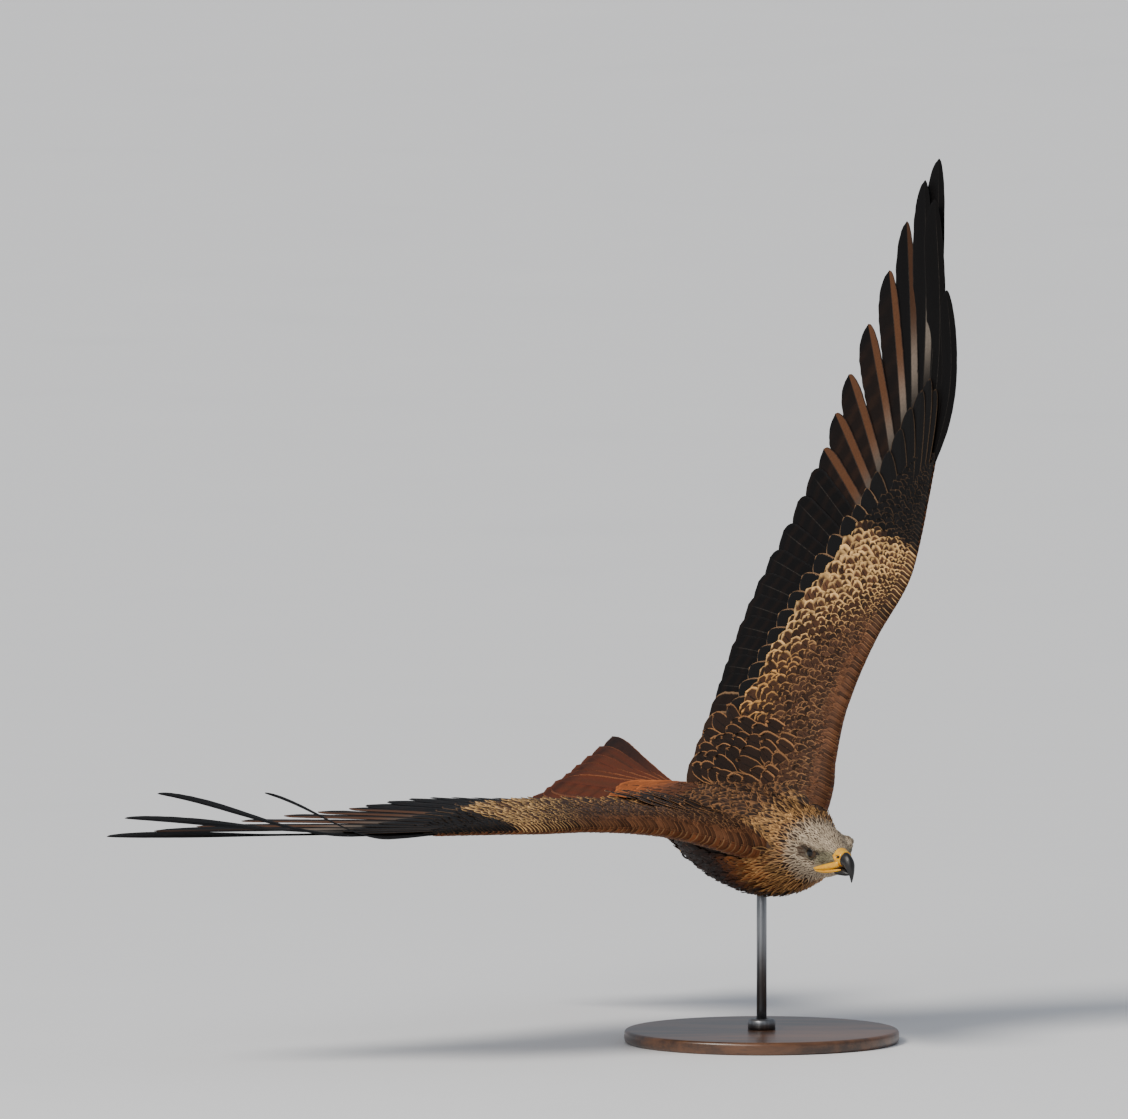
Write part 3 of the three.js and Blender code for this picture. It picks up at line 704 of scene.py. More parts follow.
def vane_group():
    """Markings of one feather: dark shaft, pale edge and barbs, from its own vane map."""
    name = "vane_markings"
    if name in bpy.data.node_groups:
        return bpy.data.node_groups[name]
    wanted = {"Slimness": 3.0, "Barbs": 60.0, "Barb depth": 0.3, "Crispness": 0.45}
    tree, given, leave = shader_group(name, wanted)
    tones = ("centre", "fringe", "streak")
    centre, fringe, streak = (
        node(tree, "ShaderNodeAttribute", attribute_name=key).outputs for key in tones
    )
    vane = node(tree, "ShaderNodeUVMap", uv_map="vane").outputs["UV"]
    u, v, _ = node(tree, "ShaderNodeSeparateXYZ", vane).outputs
    place = object_place(tree)
    off_shaft = calc(tree, "ABSOLUTE", calc(tree, "MULTIPLY_ADD", u, 2.0, -1.0))
    slant = calc(tree, "MULTIPLY_ADD", off_shaft, -0.22, v)
    along = calc(tree, "MULTIPLY", slant, given["Barbs"])
    wander = calc(tree, "MULTIPLY", noise(tree, place, 60.0, 1.0), 40.0)
    barb_at = node(tree, "ShaderNodeCombineXYZ", along, calc(tree, "MULTIPLY", u, 3.0), wander)
    barbs = noise(tree, barb_at.outputs[0], 1.0, 2.0, 0.6)
    uneven = calc(tree, "SUBTRACT", barbs, 0.5)
    edge_tip = calc(tree, "MULTIPLY", calc(tree, "SUBTRACT", 1.0, v), given["Slimness"])
    edge = calc(tree, "MINIMUM", calc(tree, "SUBTRACT", 1.0, off_shaft), edge_tip)
    ragged = calc(tree, "MULTIPLY_ADD", uneven, 0.35, edge)
    width = fringe["Alpha"]
    rim = ramp_down(tree, ragged, calc(tree, "MULTIPLY", width, given["Crispness"]), width)
    near = calc(tree, "MULTIPLY_ADD", uneven, 0.25, off_shaft)
    half = streak["Alpha"]
    line = ramp_down(tree, near, calc(tree, "MULTIPLY", half, 0.5), half)
    line = calc(tree, "MULTIPLY", line, ramp_down(tree, v, 0.72, 1.0))
    streaked = blend(tree, line, centre["Color"], streak["Color"])
    edged = blend(tree, rim, streaked, fringe["Color"])
    tone = calc(tree, "ADD", calc(tree, "MULTIPLY", barbs, 0.55), 0.55)
    mottle = calc(tree, "SUBTRACT", noise(tree, place, 420.0, 3.0, 0.6), 0.5)
    feed(tree, leave["Color"], scaled(tree, edged, calc(tree, "MULTIPLY_ADD", mottle, 0.5, tone)))
    ridge = calc(tree, "MULTIPLY", ramp_down(tree, off_shaft, 0.02, 0.09), 0.35)
    grooves = calc(tree, "MULTIPLY", barbs, given["Barb depth"])
    feed(tree, leave["Height"], calc(tree, "ADD", grooves, ridge))
    feed(tree, leave["Roughness"], calc(tree, "MULTIPLY_ADD", barbs, 0.22, 0.52))
    return tree


def bare_material(name, roughness=0.5, **shader):
    """A new material with its Principled shader's inputs, ready for links."""
    material = bpy.data.materials.new(name)
    material.use_nodes = True
    surface = material.node_tree.nodes["Principled BSDF"].inputs
    surface["Roughness"].default_value = roughness
    for key, value in shader.items():
        surface[key.replace("_", " ")].default_value = value
    return material, material.node_tree, surface


def raised(tree, surface, height, strength, distance):
    """Bump on a surface, from a height."""
    values = {"Strength": strength, "Distance": distance, "Height": height}
    feed(tree, surface["Normal"], node(tree, "ShaderNodeBump", inputs=values).outputs["Normal"])


def patterned_material(name, group, values, strength, distance, **shader):
    """A material whose colour, roughness and height come from one node group."""
    material, tree, surface = bare_material(name, **shader)
    pattern = node(tree, "ShaderNodeGroup", inputs=values, node_tree=group).outputs
    feed(tree, surface["Base Color"], pattern["Color"])
    feed(tree, surface["Roughness"], pattern["Roughness"])
    raised(tree, surface, pattern["Height"], strength, distance)
    return material


def feather_material(name, slimness=3.0, barbs=60.0, depth=0.3, crisp=0.45, bump=0.35, shine=0.14):
    values = {"Slimness": slimness, "Barbs": barbs, "Barb depth": depth, "Crispness": crisp}
    return patterned_material(name, vane_group(), values, bump, 0.0006, Specular_IOR_Level=shine)


def mottled_group():
    """Two colours mixed by noise over the object, with a height to match."""
    name = "mottled"
    if name in bpy.data.node_groups:
        return bpy.data.node_groups[name]
    wanted = {
        "Colour A": (0.5, 0.5, 0.5, 1), "Colour B": (0.2, 0.2, 0.2, 1), "Scale": 100.0, "Stretch": (1, 1, 1),
    }
    tree, given, leave = shader_group(name, wanted)
    stretched = node(tree, "ShaderNodeVectorMath", object_place(tree), given["Stretch"], operation="MULTIPLY")
    speckle = noise(tree, stretched.outputs[0], given["Scale"], 5.0)
    first = ramp_down(tree, speckle, 0.35, 0.65)
    feed(tree, leave["Color"], blend(tree, first, given["Colour B"], given["Colour A"]))
    feed(tree, leave["Height"], speckle)
    feed(tree, leave["Roughness"], calc(tree, "MULTIPLY_ADD", speckle, 0.25, 0.3))
    return tree


def mottled_material(name, first, second, scale, bump=0.3, stretch=(1, 1, 1), **shader):
    values = {"Colour A": (*first, 1), "Colour B": (*second, 1), "Scale": scale, "Stretch": stretch}
    return patterned_material(name, mottled_group(), values, bump, 0.0004, **shader)


def skin_material():
    """Short down over the skin, in the coat's colours, with their painted shade under the body."""
    material, tree, surface = bare_material("down", 0.9)
    tone = node(tree, "ShaderNodeAttribute", attribute_name="centre").outputs["Color"]
    fine = noise(tree, object_place(tree), 900.0, 4.0)
    feed(tree, surface["Base Color"], scaled(tree, tone, calc(tree, "MULTIPLY_ADD", fine, 0.5, 0.5)))
    return material


# Markings of the body and head


def body_tones(points):
    """Centre, fringe and streak colours of the coat, and how far up and how far down each point is."""
    c = colours()
    x, local = points[:, 0], in_head(points)
    height, _, above, below = np.moveaxis(BODY(x), -1, 0)
    upness = (points[:, 2] - height) / np.where(points[:, 2] > height, above, below)
    top, low = column(upness, 0.05, 0.5), column(-upness, 0.1, 0.6)
    ahead, rear = column(x, 74, 120), column(-x, 70, 112) * top
    # Painted shade: the sides behind the shoulder and the underside, and their fringes, take the near-black
    # belly colour, and `shaded` darkens the underside further.
    centre = mix(mix(c["belly"], c["shoulder"], column(x, 48, 94)), c["mantle"], top)
    centre = mix(centre, mix(c["belly"], c["breast"], ahead), low)
    centre = mix(centre, c["rump"], rear)
    centre = mix(centre, c["neck"], column(x, 95, 130) * mix(1, 0.55, top))
    fringe = mix(mix(c["belly"] * 1.8, c["neck_fringe"] * [1, 0.8, 0.6], ahead), c["mantle_fringe"], top)
    fringe = mix(fringe, c["neck_fringe"], column(x, 70, 115) * (1 - 0.35 * low))
    fringe = mix(fringe, c["rump"] * 1.5, rear)
    shaded = mix(1, 0.35, column(-upness, 0.5, 0.95) * column(-x, -130, -100))
    lores = column(local[:, 0], 15, 24) * (1 - column(np.abs(local[:, 2] - 1), 5, 10))
    # Painted shade: feathers round each eye are darkened towards the head's streak colour, for the brow's
    # shadow.
    across, high = (local[:, 0] - EYE["x"]) / 13, (local[:, 2] - EYE["z"]) / 8.5
    off_eye = np.hypot(across, high) + 4 * (np.abs(local[:, 1]) < 8)
    crown = mix(c["crown"], c["face"], lores * 0.9)
    crown = mix(crown, c["head_streak"] * 0.6, (1 - column(off_eye, 0.75, 1.15)) * 0.85)
    head = column(local[:, 0], -22, -4)
    centre, fringe = mix(centre * shaded, crown * 0.86, head), mix(fringe * shaded, crown * 1.05, head)
    streak = mix(c["body_streak"], c["head_streak"], head)
    return centre, np.clip(fringe, 0, 1), streak, top[:, 0], low[:, 0]


def wing_tones(out, fore):
    """Centre and fringe colours, and the fringe's width, of an upper lesser covert."""
    c = colours()
    past = out - (110 + (fore + 120) * 0.75)
    cream = column(past, -26, 30) * (1 - column(out, 290, 300))
    bright = column(past, 10, 70) * (1 - column(out, 284, 296))
    golden = column(-fore, 45, 90) * column(out, 30, 70)
    front = (1 - column(LEADING(out)[:, 0] - fore, 4, 14)) * (1 - column(out, 150, 225)) * 0.75
    dark = column(out, 288, 300)
    centre = mix(c["forewing"], c["band_dark"], np.maximum(cream, golden * 0.6))
    centre = mix(mix(centre, c["band_dark"] * 1.5, bright), c["edge"] * 0.85, front)
    fringe = mix(c["forewing_fringe"], c["band"] * [0.86, 0.72, 0.56], golden)
    fringe = mix(mix(fringe, c["band"], cream), c["edge"] * 1.3, front)
    centre, fringe = mix(centre, c["quill"], dark), mix(fringe, c["covert_fringe"] * 0.24, dark)
    width = mix(mix(0.26, 0.36, golden), 0.62, bright)[:, 0]
    return centre, np.clip(fringe, 0, 1), np.where(out > 300, 0.14, width)


# Pieces


def held(made, slot, *nodes):
    """Ties a piece to the frame: it rides on the bird and may stand for nodes, which it hides. The slot is
    not used.
    """
    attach(made, "root")
    if nodes:
        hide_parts(*nodes)
    return made


BROW = {"path": ((27, 13.4, 8.8), (13, 20.4, 11.8), (-4, 22.6, 11.4)), "radii": (1.5, 4.0, 1.6)}


def mirrored(path, side):
    """A path laid out on the left, 1, or on the right, -1."""
    return [np.array(point) * [1, side, 1] for point in path]


def brow_rings(side):
    return on_head(tapered(mirrored(BROW["path"], side), BROW["radii"]))


WING_COAT, TAIL_COAT, SKIN_VOXEL = 1.6, 2.0, 2.0


def flesh_forms():
    """The skin's own shape: every form of flesh, drawn in by the depth of its coat."""
    coat, thin = sizes().coat / MM, sizes().head_coat / MM / HEAD_SCALE
    forms = [body_rings(coat), skull_rings(thin), brow_rings(1), brow_rings(-1)]
    forms += [wing_rings(WingSurface(pose), WING_COAT) for pose in WINGS.values()]
    tail = []
    for along in np.linspace(-20, 108, 30):
        tail.append(oval_ring(on_tail(along, 0, 0), *(TAIL_FLESH(along) - TAIL_COAT), 32))
    return [*forms, np.array(tail)[::-1]]


def skin_surface():
    """The skin as one closed mesh in the bird's frame, its points, and a tree to lay feathers on."""
    made = lofts_mesh("bird_skin", flesh_forms(), place=np.asarray)
    remesh = made.modifiers.new("one_skin", "REMESH")
    remesh.mode = "VOXEL"
    remesh.voxel_size = SKIN_VOXEL
    made.modifiers.new("ease", "SMOOTH").iterations = 6
    eased = made.evaluated_get(bpy.context.evaluated_depsgraph_get())
    mesh = bpy.data.meshes.new_from_object(eased)
    made.modifiers.clear()
    old, made.data = made.data, mesh
    bpy.data.meshes.remove(old)
    mesh.name = "bird_skin"
    points = np.empty(len(mesh.vertices) * 3)
    mesh.vertices.foreach_get("co", points)
    points = points.reshape(-1, 3)
    tree = BVHTree.FromPolygons(points.tolist(), [tuple(p.vertices) for p in mesh.polygons])
    return made, points, tree


SKIN = {}


def skin_tree():
    if not SKIN:
        raise RuntimeError("The skin comes first")
    return SKIN["tree"]


def off_skin(points):
    """How far each point is from the skin."""
    return np.array([skin_tree().find_nearest(Vector(point))[3] for point in points])


class KITE_OT_skin(bpy.types.Operator):
    """One continuous skin under the coat"""

    bl_idname = "kite.skin"
    bl_label = "Skin"

    def execute(self, context):
        made, points, SKIN["tree"] = skin_surface()
        c, centre = colours(), body_tones(points)[0]
        beside = np.abs(points[:, 1])
        under = points[:, 2] < SHOULDER[2] + (beside - SHOULDER[1]) * 0.7
        centre[(beside > 62) & ~under] = c["forewing"]
        centre[(beside > 62) & under] = c["edge"] * 0.7
        colour_points(made.data, "centre", four(centre))
        made.data.vertices.foreach_set("co", to_world(points).ravel())
        made.data.materials.append(skin_material())
        smooth_faces(made.data)
        held(made, "body_feathers", "torso", "neck", "head")
        return {"FINISHED"}


def lattice(form, first, last, spacing, rng):
    """Rows of roots: places along a form, and turns about it, staggered from row to row."""
    rows = []
    x, odd = first, 0.0
    while x < last:
        gap = float(spacing(x)[0])
        count = max(int(2 * math.pi * np.mean(form(x)[1:]) / gap), 6)
        turns = (np.arange(count) + odd + rng.uniform(-0.22, 0.22, count)) * 2 * math.pi / count
        shift = rng.uniform(-0.25, 0.25, count) * gap
        rows.append(np.stack([np.full(count, x) + shift, turns], -1))
        x += gap * 0.82
        odd = 0.5 - odd
    return np.concatenate(rows)


def on_form(form, places):
    """Points at (place along, turn) pairs of an oval form."""
    x, turn = places[:, 0], places[:, 1]
    height, wide, above, below = np.moveaxis(form(x), -1, 0)
    reach = np.where(np.sin(turn) > 0, above, below)
    return np.stack([x, wide * np.cos(turn), height + reach * np.sin(turn)], -1)


def tufts(sheets, places, *tones):
    """Small feathers as one plumage, in their centre, fringe and streak colours."""
    plumage = Plumage()
    plumage.lay(sheets, tuft_patches(places), *tones)
    return plumage


COAT_ROWS = 6


def coat_over(roots, headings, length, half, lift, rng, tones, bake, fold=0.45, **shape):
    """Lays feathers at roots on the skin, but for those that would fold over a crease."""
    places, ups = follow(skin_tree(), roots, headings, length, COAT_ROWS)
    flat_enough = (ups[:, 0] * ups[:, -1]).sum(1) > fold
    flat_enough &= np.linalg.norm(places[:, -1] - places[:, 0], axis=1) > 0.72 * length
    flat_enough &= (unit(places[:, 1] - places[:, 0]) * unit(headings)).sum(1) > fold
    sheets = sheets_on(places, ups, length, half, lift, rng, **shape)[flat_enough]
    return tufts(sheets, bake[flat_enough], *(tone[flat_enough] for tone in tones))


# Name, slot, slimness of the fringe at the tip, and shape of each part of the body's coat
BODY_COATS = (
    ("mantle_and_rump", "body_feathers", 2.2, {"tip": 0.55}),
    ("breast_and_belly", "body_feathers", 2.2, {"tip": 0.55}),
    ("neck_feathers", "neck_feathers", 1.7, {"tip": 0.3, "point": 0.8, "fold": 0.62}),
)


class KITE_OT_body_coat(bpy.types.Operator):
    """Feathers of the breast, belly, back and neck"""

    bl_idname = "kite.body_coat"
    bl_label = "Body and neck feathers"

    def execute(self, context):
        rng, size = chance("body"), sizes()
        spacing = through([(-134, 9.0), (-60, 8.6), (20, 7.8), (80, 6.4), (120, 5.0), (150, 4.4)])
        places = lattice(BODY, -126, 150, spacing, rng)
        points = on_form(BODY, places)
        x, y, z = points.T
        wing_root = (x > 0) & (x < 96) & (np.abs(y) > 44) & (z > 4) & (z < 36)
        keep = (off_skin(points) <= 9) & (in_head(points)[:, 0] < -18) & ~wing_root
        points, places = points[keep], places[keep]
        x, count = points[:, 0], len(points)
        centre, fringe, streak, top, low = body_tones(points)
        neck = smooth(x, 70, 130)
        loose = low * (1 - neck)
        length = mix(size.back_feather, size.neck_feather, neck) / MM * rng.uniform(0.85, 1.15, count)
        length *= mix(1, 1.25, loose)
        half = spacing(x)[:, 0] * mix(0.70, 0.56, neck) * rng.uniform(0.85, 1.15, count)
        back = np.array([-1.0, 0, 0])
        heading = unit(mix(back, unit(HEAD_FRAME @ back), column(x, 110, 150)))
        heading += rng.normal(0, 0.11, (count, 3))
        lift = size.coat / MM * rng.uniform(0.9, 1.1, count) * mix(1, 0.8, neck) * mix(1, 1.6, loose)
        bake = np.stack([places[:, 1] / (2 * math.pi) % 1, (x + 140) / 320], -1)
        width, line = mix(0.5, 0.46, top) * mix(1, 1.5, neck), mix(0.14, 0.3, neck)
        drift = 0.32 * patches(points, 34)
        zone = np.where(x > 92, 2, np.where(top > 0.5, 0, 1))
        for number, (name, slot, slimness, shape) in enumerate(BODY_COATS):
            here = zone == number
            many = int(here.sum())
            tones = (
                pale(centre[here], rng, many, 0.26, drift=drift[here]),
                pale(fringe[here], rng, many, 0.22, width[here] * rng.uniform(0.6, 1.25, many), drift[here]),
                pale(streak[here], rng, many, 0.1, line[here]),
            )
            laid = (values[here] for values in (points, heading, length, half, lift))
            coat = coat_over(*laid, rng, tones, bake[here], **shape)
            held(coat.build(name, feather_material(name, slimness, 34.0, 0.35, -0.3)), slot)
        return {"FINISHED"}


class KITE_OT_head_coat(bpy.types.Operator):
    """Small pointed feathers of the head"""

    bl_idname = "kite.head_coat"
    bl_label = "Head feathers"

    def execute(self, context):
        rng, size = chance("head"), sizes()
        spacing = through([(-44, 4.8), (-10, 3.9), (14, 2.8), (40, 1.9)])
        places = lattice(SKULL, -36, 37.5, spacing, rng)
        local = on_form(SKULL, places)
        for way in (1, -1):
            brow = self.brow_roots(way, rng)
            turns = np.arctan2(brow[:, 2], brow[:, 1])
            local = np.concatenate([local, brow])
            places = np.concatenate([places, np.stack([brow[:, 0], turns], -1)])
        keep = self.off_eyes_and_lips(local) & (off_skin(on_head(local)) < 7)
        local, places = local[keep], places[keep]
        points, count = on_head(local), len(local)
        centre, fringe, streak, _, _ = body_tones(points)
        nape = smooth(-local[:, 0], -26, 26)
        length = size.head_feather / MM * mix(0.42, 1.5, nape) * rng.uniform(0.8, 1.2, count)
        half = spacing(local[:, 0])[:, 0] * HEAD_SCALE * 0.62 * rng.uniform(0.9, 1.1, count)
        spread = local * [0, 1, 1] / 26 * column(local[:, 0], 0, 34)
        heading = (np.array([-1.0, 0, 0]) + spread * 0.6) @ HEAD_FRAME.T + rng.normal(0, 0.1, (count, 3))
        lift = size.head_coat / MM * mix(0.6, 1.25, nape) * rng.uniform(0.85, 1.15, count)
        bake = np.stack([places[:, 1] / (2 * math.pi) % 1, (local[:, 0] + 50) / 100], -1)
        line = mix(0.3, 0.62, nape) * rng.uniform(0.3, 1.5, count)
        drift = 0.16 * patches(local, 12, 3)
        tones = (
            pale(centre, rng, count, 0.2, drift=drift), pale(fringe, rng, count, 0.16, 0.4, drift),
            pale(streak, rng, count, 0.15, line),
        )
        shape = {"cols": 5, "fold": -0.2, "tip": 0.3, "point": 0.8, "tilt": 0.2}
        coat = coat_over(points, heading, length, half, lift, rng, tones, bake, **shape)
        fine = feather_material("head_feathers", 2.6, 20.0, 0.35, 0.1)
        held(coat.build("head_feathers", fine), "head_feathers")
        return {"FINISHED"}

    def off_eyes_and_lips(self, local):
        """Which places are clear of the bare rim round each eye and of the mouth's line."""
        x, y, z = local.T
        off_eye = [(x - EYE["x"] - 1.4) / 1.15, (np.abs(y) - EYE["y"] - 6) / 2.4, (z - EYE["z"] + 1.0) / 0.95]
        lip = np.interp(x, [13, 42], [-11, -1.4])
        at_lip = (x > 14) & (z < lip + 2.4) & (z > lip - 4.2) & (np.abs(y) > 4)
        return (np.linalg.norm(off_eye, axis=0) > 7.3) & ~at_lip

    def brow_roots(self, way, rng, count=64):
        """Roots over the outer face of one brow."""
        share, turn = rng.uniform(0, 0.9, count), rng.uniform(-0.9, 1.2, count)
        ridge = through([(s, *p) for s, p in zip((0, 0.5, 1), BROW["path"])])(share)
        swell = np.interp(share, (0, 0.5, 1), BROW["radii"])[:, None]
        return (ridge + swell * np.stack([0 * turn, np.cos(turn), np.sin(turn)], -1)) * [1, way, 1]


# Wing feathers


VANE_THICK = 0.5


def fine_vane(wing, i, rng, start=0.0, end=1.0, up=0.0, wide=1.0, rows=44):
    """Upper and lower faces of one vane, and the share and side of each of their points."""
    feather, place = shaft_path(i, wing.lift)
    across = np.array([-1, -0.72, -0.4, -0.12, -0.03, 0.03, 0.12, 0.35, 0.65, 0.86, 1])
    t = 1 - (1 - np.linspace(0, 1, rows)) ** 1.25
    whole = end == 1.0
    narrow = 1 - whole * feather["notch"] * smooth(t, 0.4, 0.6)
    width = vane_width(t, feather["round_from"] if whole else 0.6) * narrow
    aside = width[:, None] * across * np.where(across < 0, feather["lead"], feather["trail"]) * wide
    aside = aside * (1 + rng.uniform(-0.035, 0.02, aside.shape) * np.abs(across) ** 3)
    ridge = np.exp(-((across / 0.045) ** 2)) * mix(0.9, 0.2, t)[:, None]
    curl = -np.abs(across) ** 2 * mix(1.2, 0.5, t)[:, None] * wide
    share = mix(start, end, t)[:, None] * np.ones_like(aside)
    curl = curl + wing.twist * smooth(feather["number"], 5, 7) * smooth(share, 0.5, 0.8) * aside
    half = VANE_THICK * mix(1, 0.5, t)[:, None] / 2 * mix(1, 0.4, np.abs(across) ** 4)
    faces = []
    for height, off in ((up + ridge * 0.8 + curl, half), (up + curl - ridge * 0.4, -half)):
        out, fore, lifted = place(share, aside, height)
        faces.append(wing.at(out, fore, lifted + off)[None])
    return *faces, t[:, None] * np.ones_like(aside), np.broadcast_to(across, aside.shape)


def four(rgb, alpha=1.0):
    """Colours with their width, or 1, as a fourth number."""
    return np.concatenate([rgb, np.full((*np.shape(rgb)[:-1], 1), alpha)], -1)


def flight_tones(i, t, across):
    """Upper and lower colours of a flight feather, point by point."""
    c = colours()
    number = i - ARM_FEATHERS + 1
    barred = column(0.5 + 0.5 * np.sin(t * 52 + np.abs(across) * 1.6 + i), 0.55, 0.9)
    quill = np.broadcast_to(c["quill"], (*t.shape, 3))
    if number < 1:
        top = mix(mix(quill, c["bar"] * 0.4, barred * 0.12), c["mantle"], 1 - smooth(i, 1, 4))
        return top[None], (c["under_grey"] * (1 - 0.35 * barred))[None]
    rufous = (1 - smooth(number, 5.2, 6.8)) * column(t, 0.40, 0.55)
    lead = mix(c["quill"], c["bar"], rufous * 0.95)
    paler = np.exp(-(((t - 0.38 - 0.02 * number) / 0.1) ** 2)) * (1 - smooth(number, 7.2, 8))
    lead = mix(lead, c["glint"], paler[..., None] * mix(0.25, 0.5, smooth(number, 3, 6)))
    faint = 0.25 * (1 - smooth(number, 4, 6)) * (1 - column(t, 0.8, 1))
    trail = mix(quill, c["bar"] * 0.6, (0.4 + 0.6 * barred) * faint)
    window = (1 - column(t, 0.42, 0.6)) * (1 - 0.45 * barred)
    top = np.where((across < 0.02)[..., None], lead, trail)
    return top[None], mix(c["quill"] * 1.6, c["under_pale"], window)[None]


COVERT_ENDS = {
    "greater": through([
        (0, 0.8), (3, 0.75), (6, 0.66), (9, 0.6), (12, 0.53), (14, 0.46), (17, 0.38), (23, 0.33)
    ]),
    "median": through([(0, 0.66), (3, 0.6), (6, 0.53), (9, 0.47), (12, 0.38), (14, 0.32)]),
}
COVERT_UP = {"greater": (3.4, 2.0), "under": (-3.8, -2.0), "median": 5.2, "under_median": -5.2}


def closed_vane(plumage, wing, i, number, total, rng, tones, fringe, streak, **shape):
    """Lays one closed vane, with upper and lower colours from `tones`."""
    upper, lower, t, across = fine_vane(wing, i, rng, **shape)
    top, under = tones(t, across)
    plumage.lay(upper, strip_patch(number, total), four(top), fringe, streak, lower, four(under))


def flat(*faces):
    """One colour for each face of a vane."""
    return lambda t, across: [np.broadcast_to(rgb, (1, *t.shape, 3)) for rgb in faces]


def flight_feathers(side, wing):
    """Primaries, secondaries and tertials of one wing."""
    rng, c = chance("flight " + side), colours()
    plumage = Plumage()
    streak = four(mix(c["quill"], c["glint"], 0.12), 0.04)
    for i in range(ALL_FEATHERS):
        fringe = four(c["covert_fringe"], 0.16) if i < 4 else four(c["quill"] * 2.2, 0.1)
        tones = partial(flight_tones, i)
        closed_vane(plumage, wing, i, i, ALL_FEATHERS, rng, tones, fringe, streak)
    return plumage


def large_coverts(side, wing):
    """Greater and median coverts, above and below."""
    rng, c = chance("coverts " + side), colours()
    plumage = Plumage()
    total = 4 * ALL_FEATHERS
    slots = iter(range(total))
    plain, grey, dull = four(c["quill"], 0.05), c["under_grey"], c["body_streak"]
    for i in range(ALL_FEATHERS - 1):
        outward = max(i - ARM_FEATHERS + 1, 0) / HAND_FEATHERS
        greater, median = (float(COVERT_ENDS[key](i)[0]) for key in ("greater", "median"))
        above, below = (mix(*COVERT_UP[key], outward) for key in ("greater", "under"))
        rim = c["covert_fringe"] * mix(1, 0.2, smooth(i, ARM_FEATHERS, ARM_FEATHERS + 3))
        dark = mix(c["mantle"] * 0.7, c["quill"], smooth(i, 1, 4))
        tiers = [
            (dark, grey, four(rim, 0.13), -0.06, greater, above, 0.9, 24),
            (
                grey, mix(grey, c["quill"], 0.5), four(c["under_pale"], 0.12), 0.0, greater * 0.8, below,
                1.0, 18,
            ),
        ]
        if i <= ARM_FEATHERS:
            middle = mix(c["mantle"], c["band_dark"], smooth(i, 4, 7)) * 0.5
            edge = mix(c["mantle_fringe"], c["band"], smooth(i, 3, 6))
            tiers += [
                (middle, c["belly"], four(edge, 0.26), -0.1, median, COVERT_UP["median"], 0.84, 20),
                (dull, dull, four(c["breast"], 0.3), -0.12, 0.26, COVERT_UP["under_median"], 0.9, 16),
            ]
        for upper, lower, fringe, start, end, up, wide, rows in tiers:
            closed_vane(
                plumage, wing, i, next(slots), total, rng, flat(upper, lower), fringe, plain,
                start=start, end=end, up=up, wide=wide, rows=rows,
            )
    return plumage


def covert_lattice(rng, first, last, reach_back, spacing):
    """Staggered roots over a wing, from its leading edge back: out, fore and the row's spacing."""
    rows = []
    depth, odd = 0.0, 0.0
    while depth < reach_back:
        gap = float(spacing(depth)[0])
        out = np.arange(first + odd * gap, last, gap)
        out = out + rng.uniform(-0.2, 0.2, len(out)) * gap
        fore = LEADING(out)[:, 0] - 0.05 - depth * rng.uniform(0.97, 1.03, len(out))
        rows.append(np.stack([out, fore, np.full(len(out), gap)], -1))
        depth += gap * 0.78
        odd = 0.5 - odd
    return np.concatenate(rows)


def lie_on_wing(out):
    """How far, in degrees, the coverts turn from straight back towards the wingtip."""
    return mix(8, 30, smooth(out, 0, 260)) + mix(0, 38, smooth(out, 270, 420))


def wing_sheets(
    wing, out, fore, gap, length, rng, under=False, rows=7, cols=7, tip=0.6, base=None, climb=2.2, tilt=0.5
):
    """Sheets of small coverts that follow the wing's flesh and the tier behind it."""
    count = len(out)
    v, width, across = leaf(rows, cols, tip)
    small = np.clip(gap / 9, 0.3, 1)
    turn = np.radians(lie_on_wing(out) + rng.normal(0, 5, count) * small)[:, None, None]
    run = (length[:, None] * v)[..., None]
    first = 1 - column(LEADING(out)[:, 0] - fore, 1, 4)
    width = mix(width[None], np.maximum(width, v < 0.5)[None], first)
    aside = (gap * 0.86)[:, None, None] * width[:, :, None] * across
    ragged = rng.uniform(-0.06, 0.06, (count, 1, cols)) * length[:, None, None]
    run = run + ragged * smooth(v, 0.5, 1)[None, :, None]
    here_out = out[:, None, None] + run * np.sin(turn) + aside * np.cos(turn)
    here_fore = fore[:, None, None] - run * np.cos(turn) + aside * np.sin(turn)
    front = LEADING(here_out)[..., 0]
    at_edge = (first[..., None] > 0.5) & (v == 0)[None, :, None]
    here_fore = np.where(at_edge, front - 0.02, np.minimum(here_fore, front - 0.02))
    tier = mix(0.5, 5.4, smooth(front - here_fore, 10, 70)) * mix(1, 0.5, smooth(here_out, 270, 350))
    ground = np.maximum(flesh_height(here_out, here_fore, under), tier if base is None else base)
    calm = small[:, None, None] ** 1.5
    lift = (0.3 + climb * v)[None, :, None] * mix(0.86, 1.0, rng.random((count, 1, 1))) * calm
    over = lift + across * tilt * calm - 0.05 * np.abs(aside) * np.abs(across)
    height = np.where(at_edge, -0.9, ground + over)
    return wing.at(here_out, here_fore, -height if under else height)


def wing_bake(out, fore, side):
    """Places on the wing's own unwrap, with its two faces side by side."""
    return np.stack([0.02 + (out + 40) / 800 * 0.96, (0.1 + (60 - fore) / 320 * 0.38 + 0.5 * side)], -1)


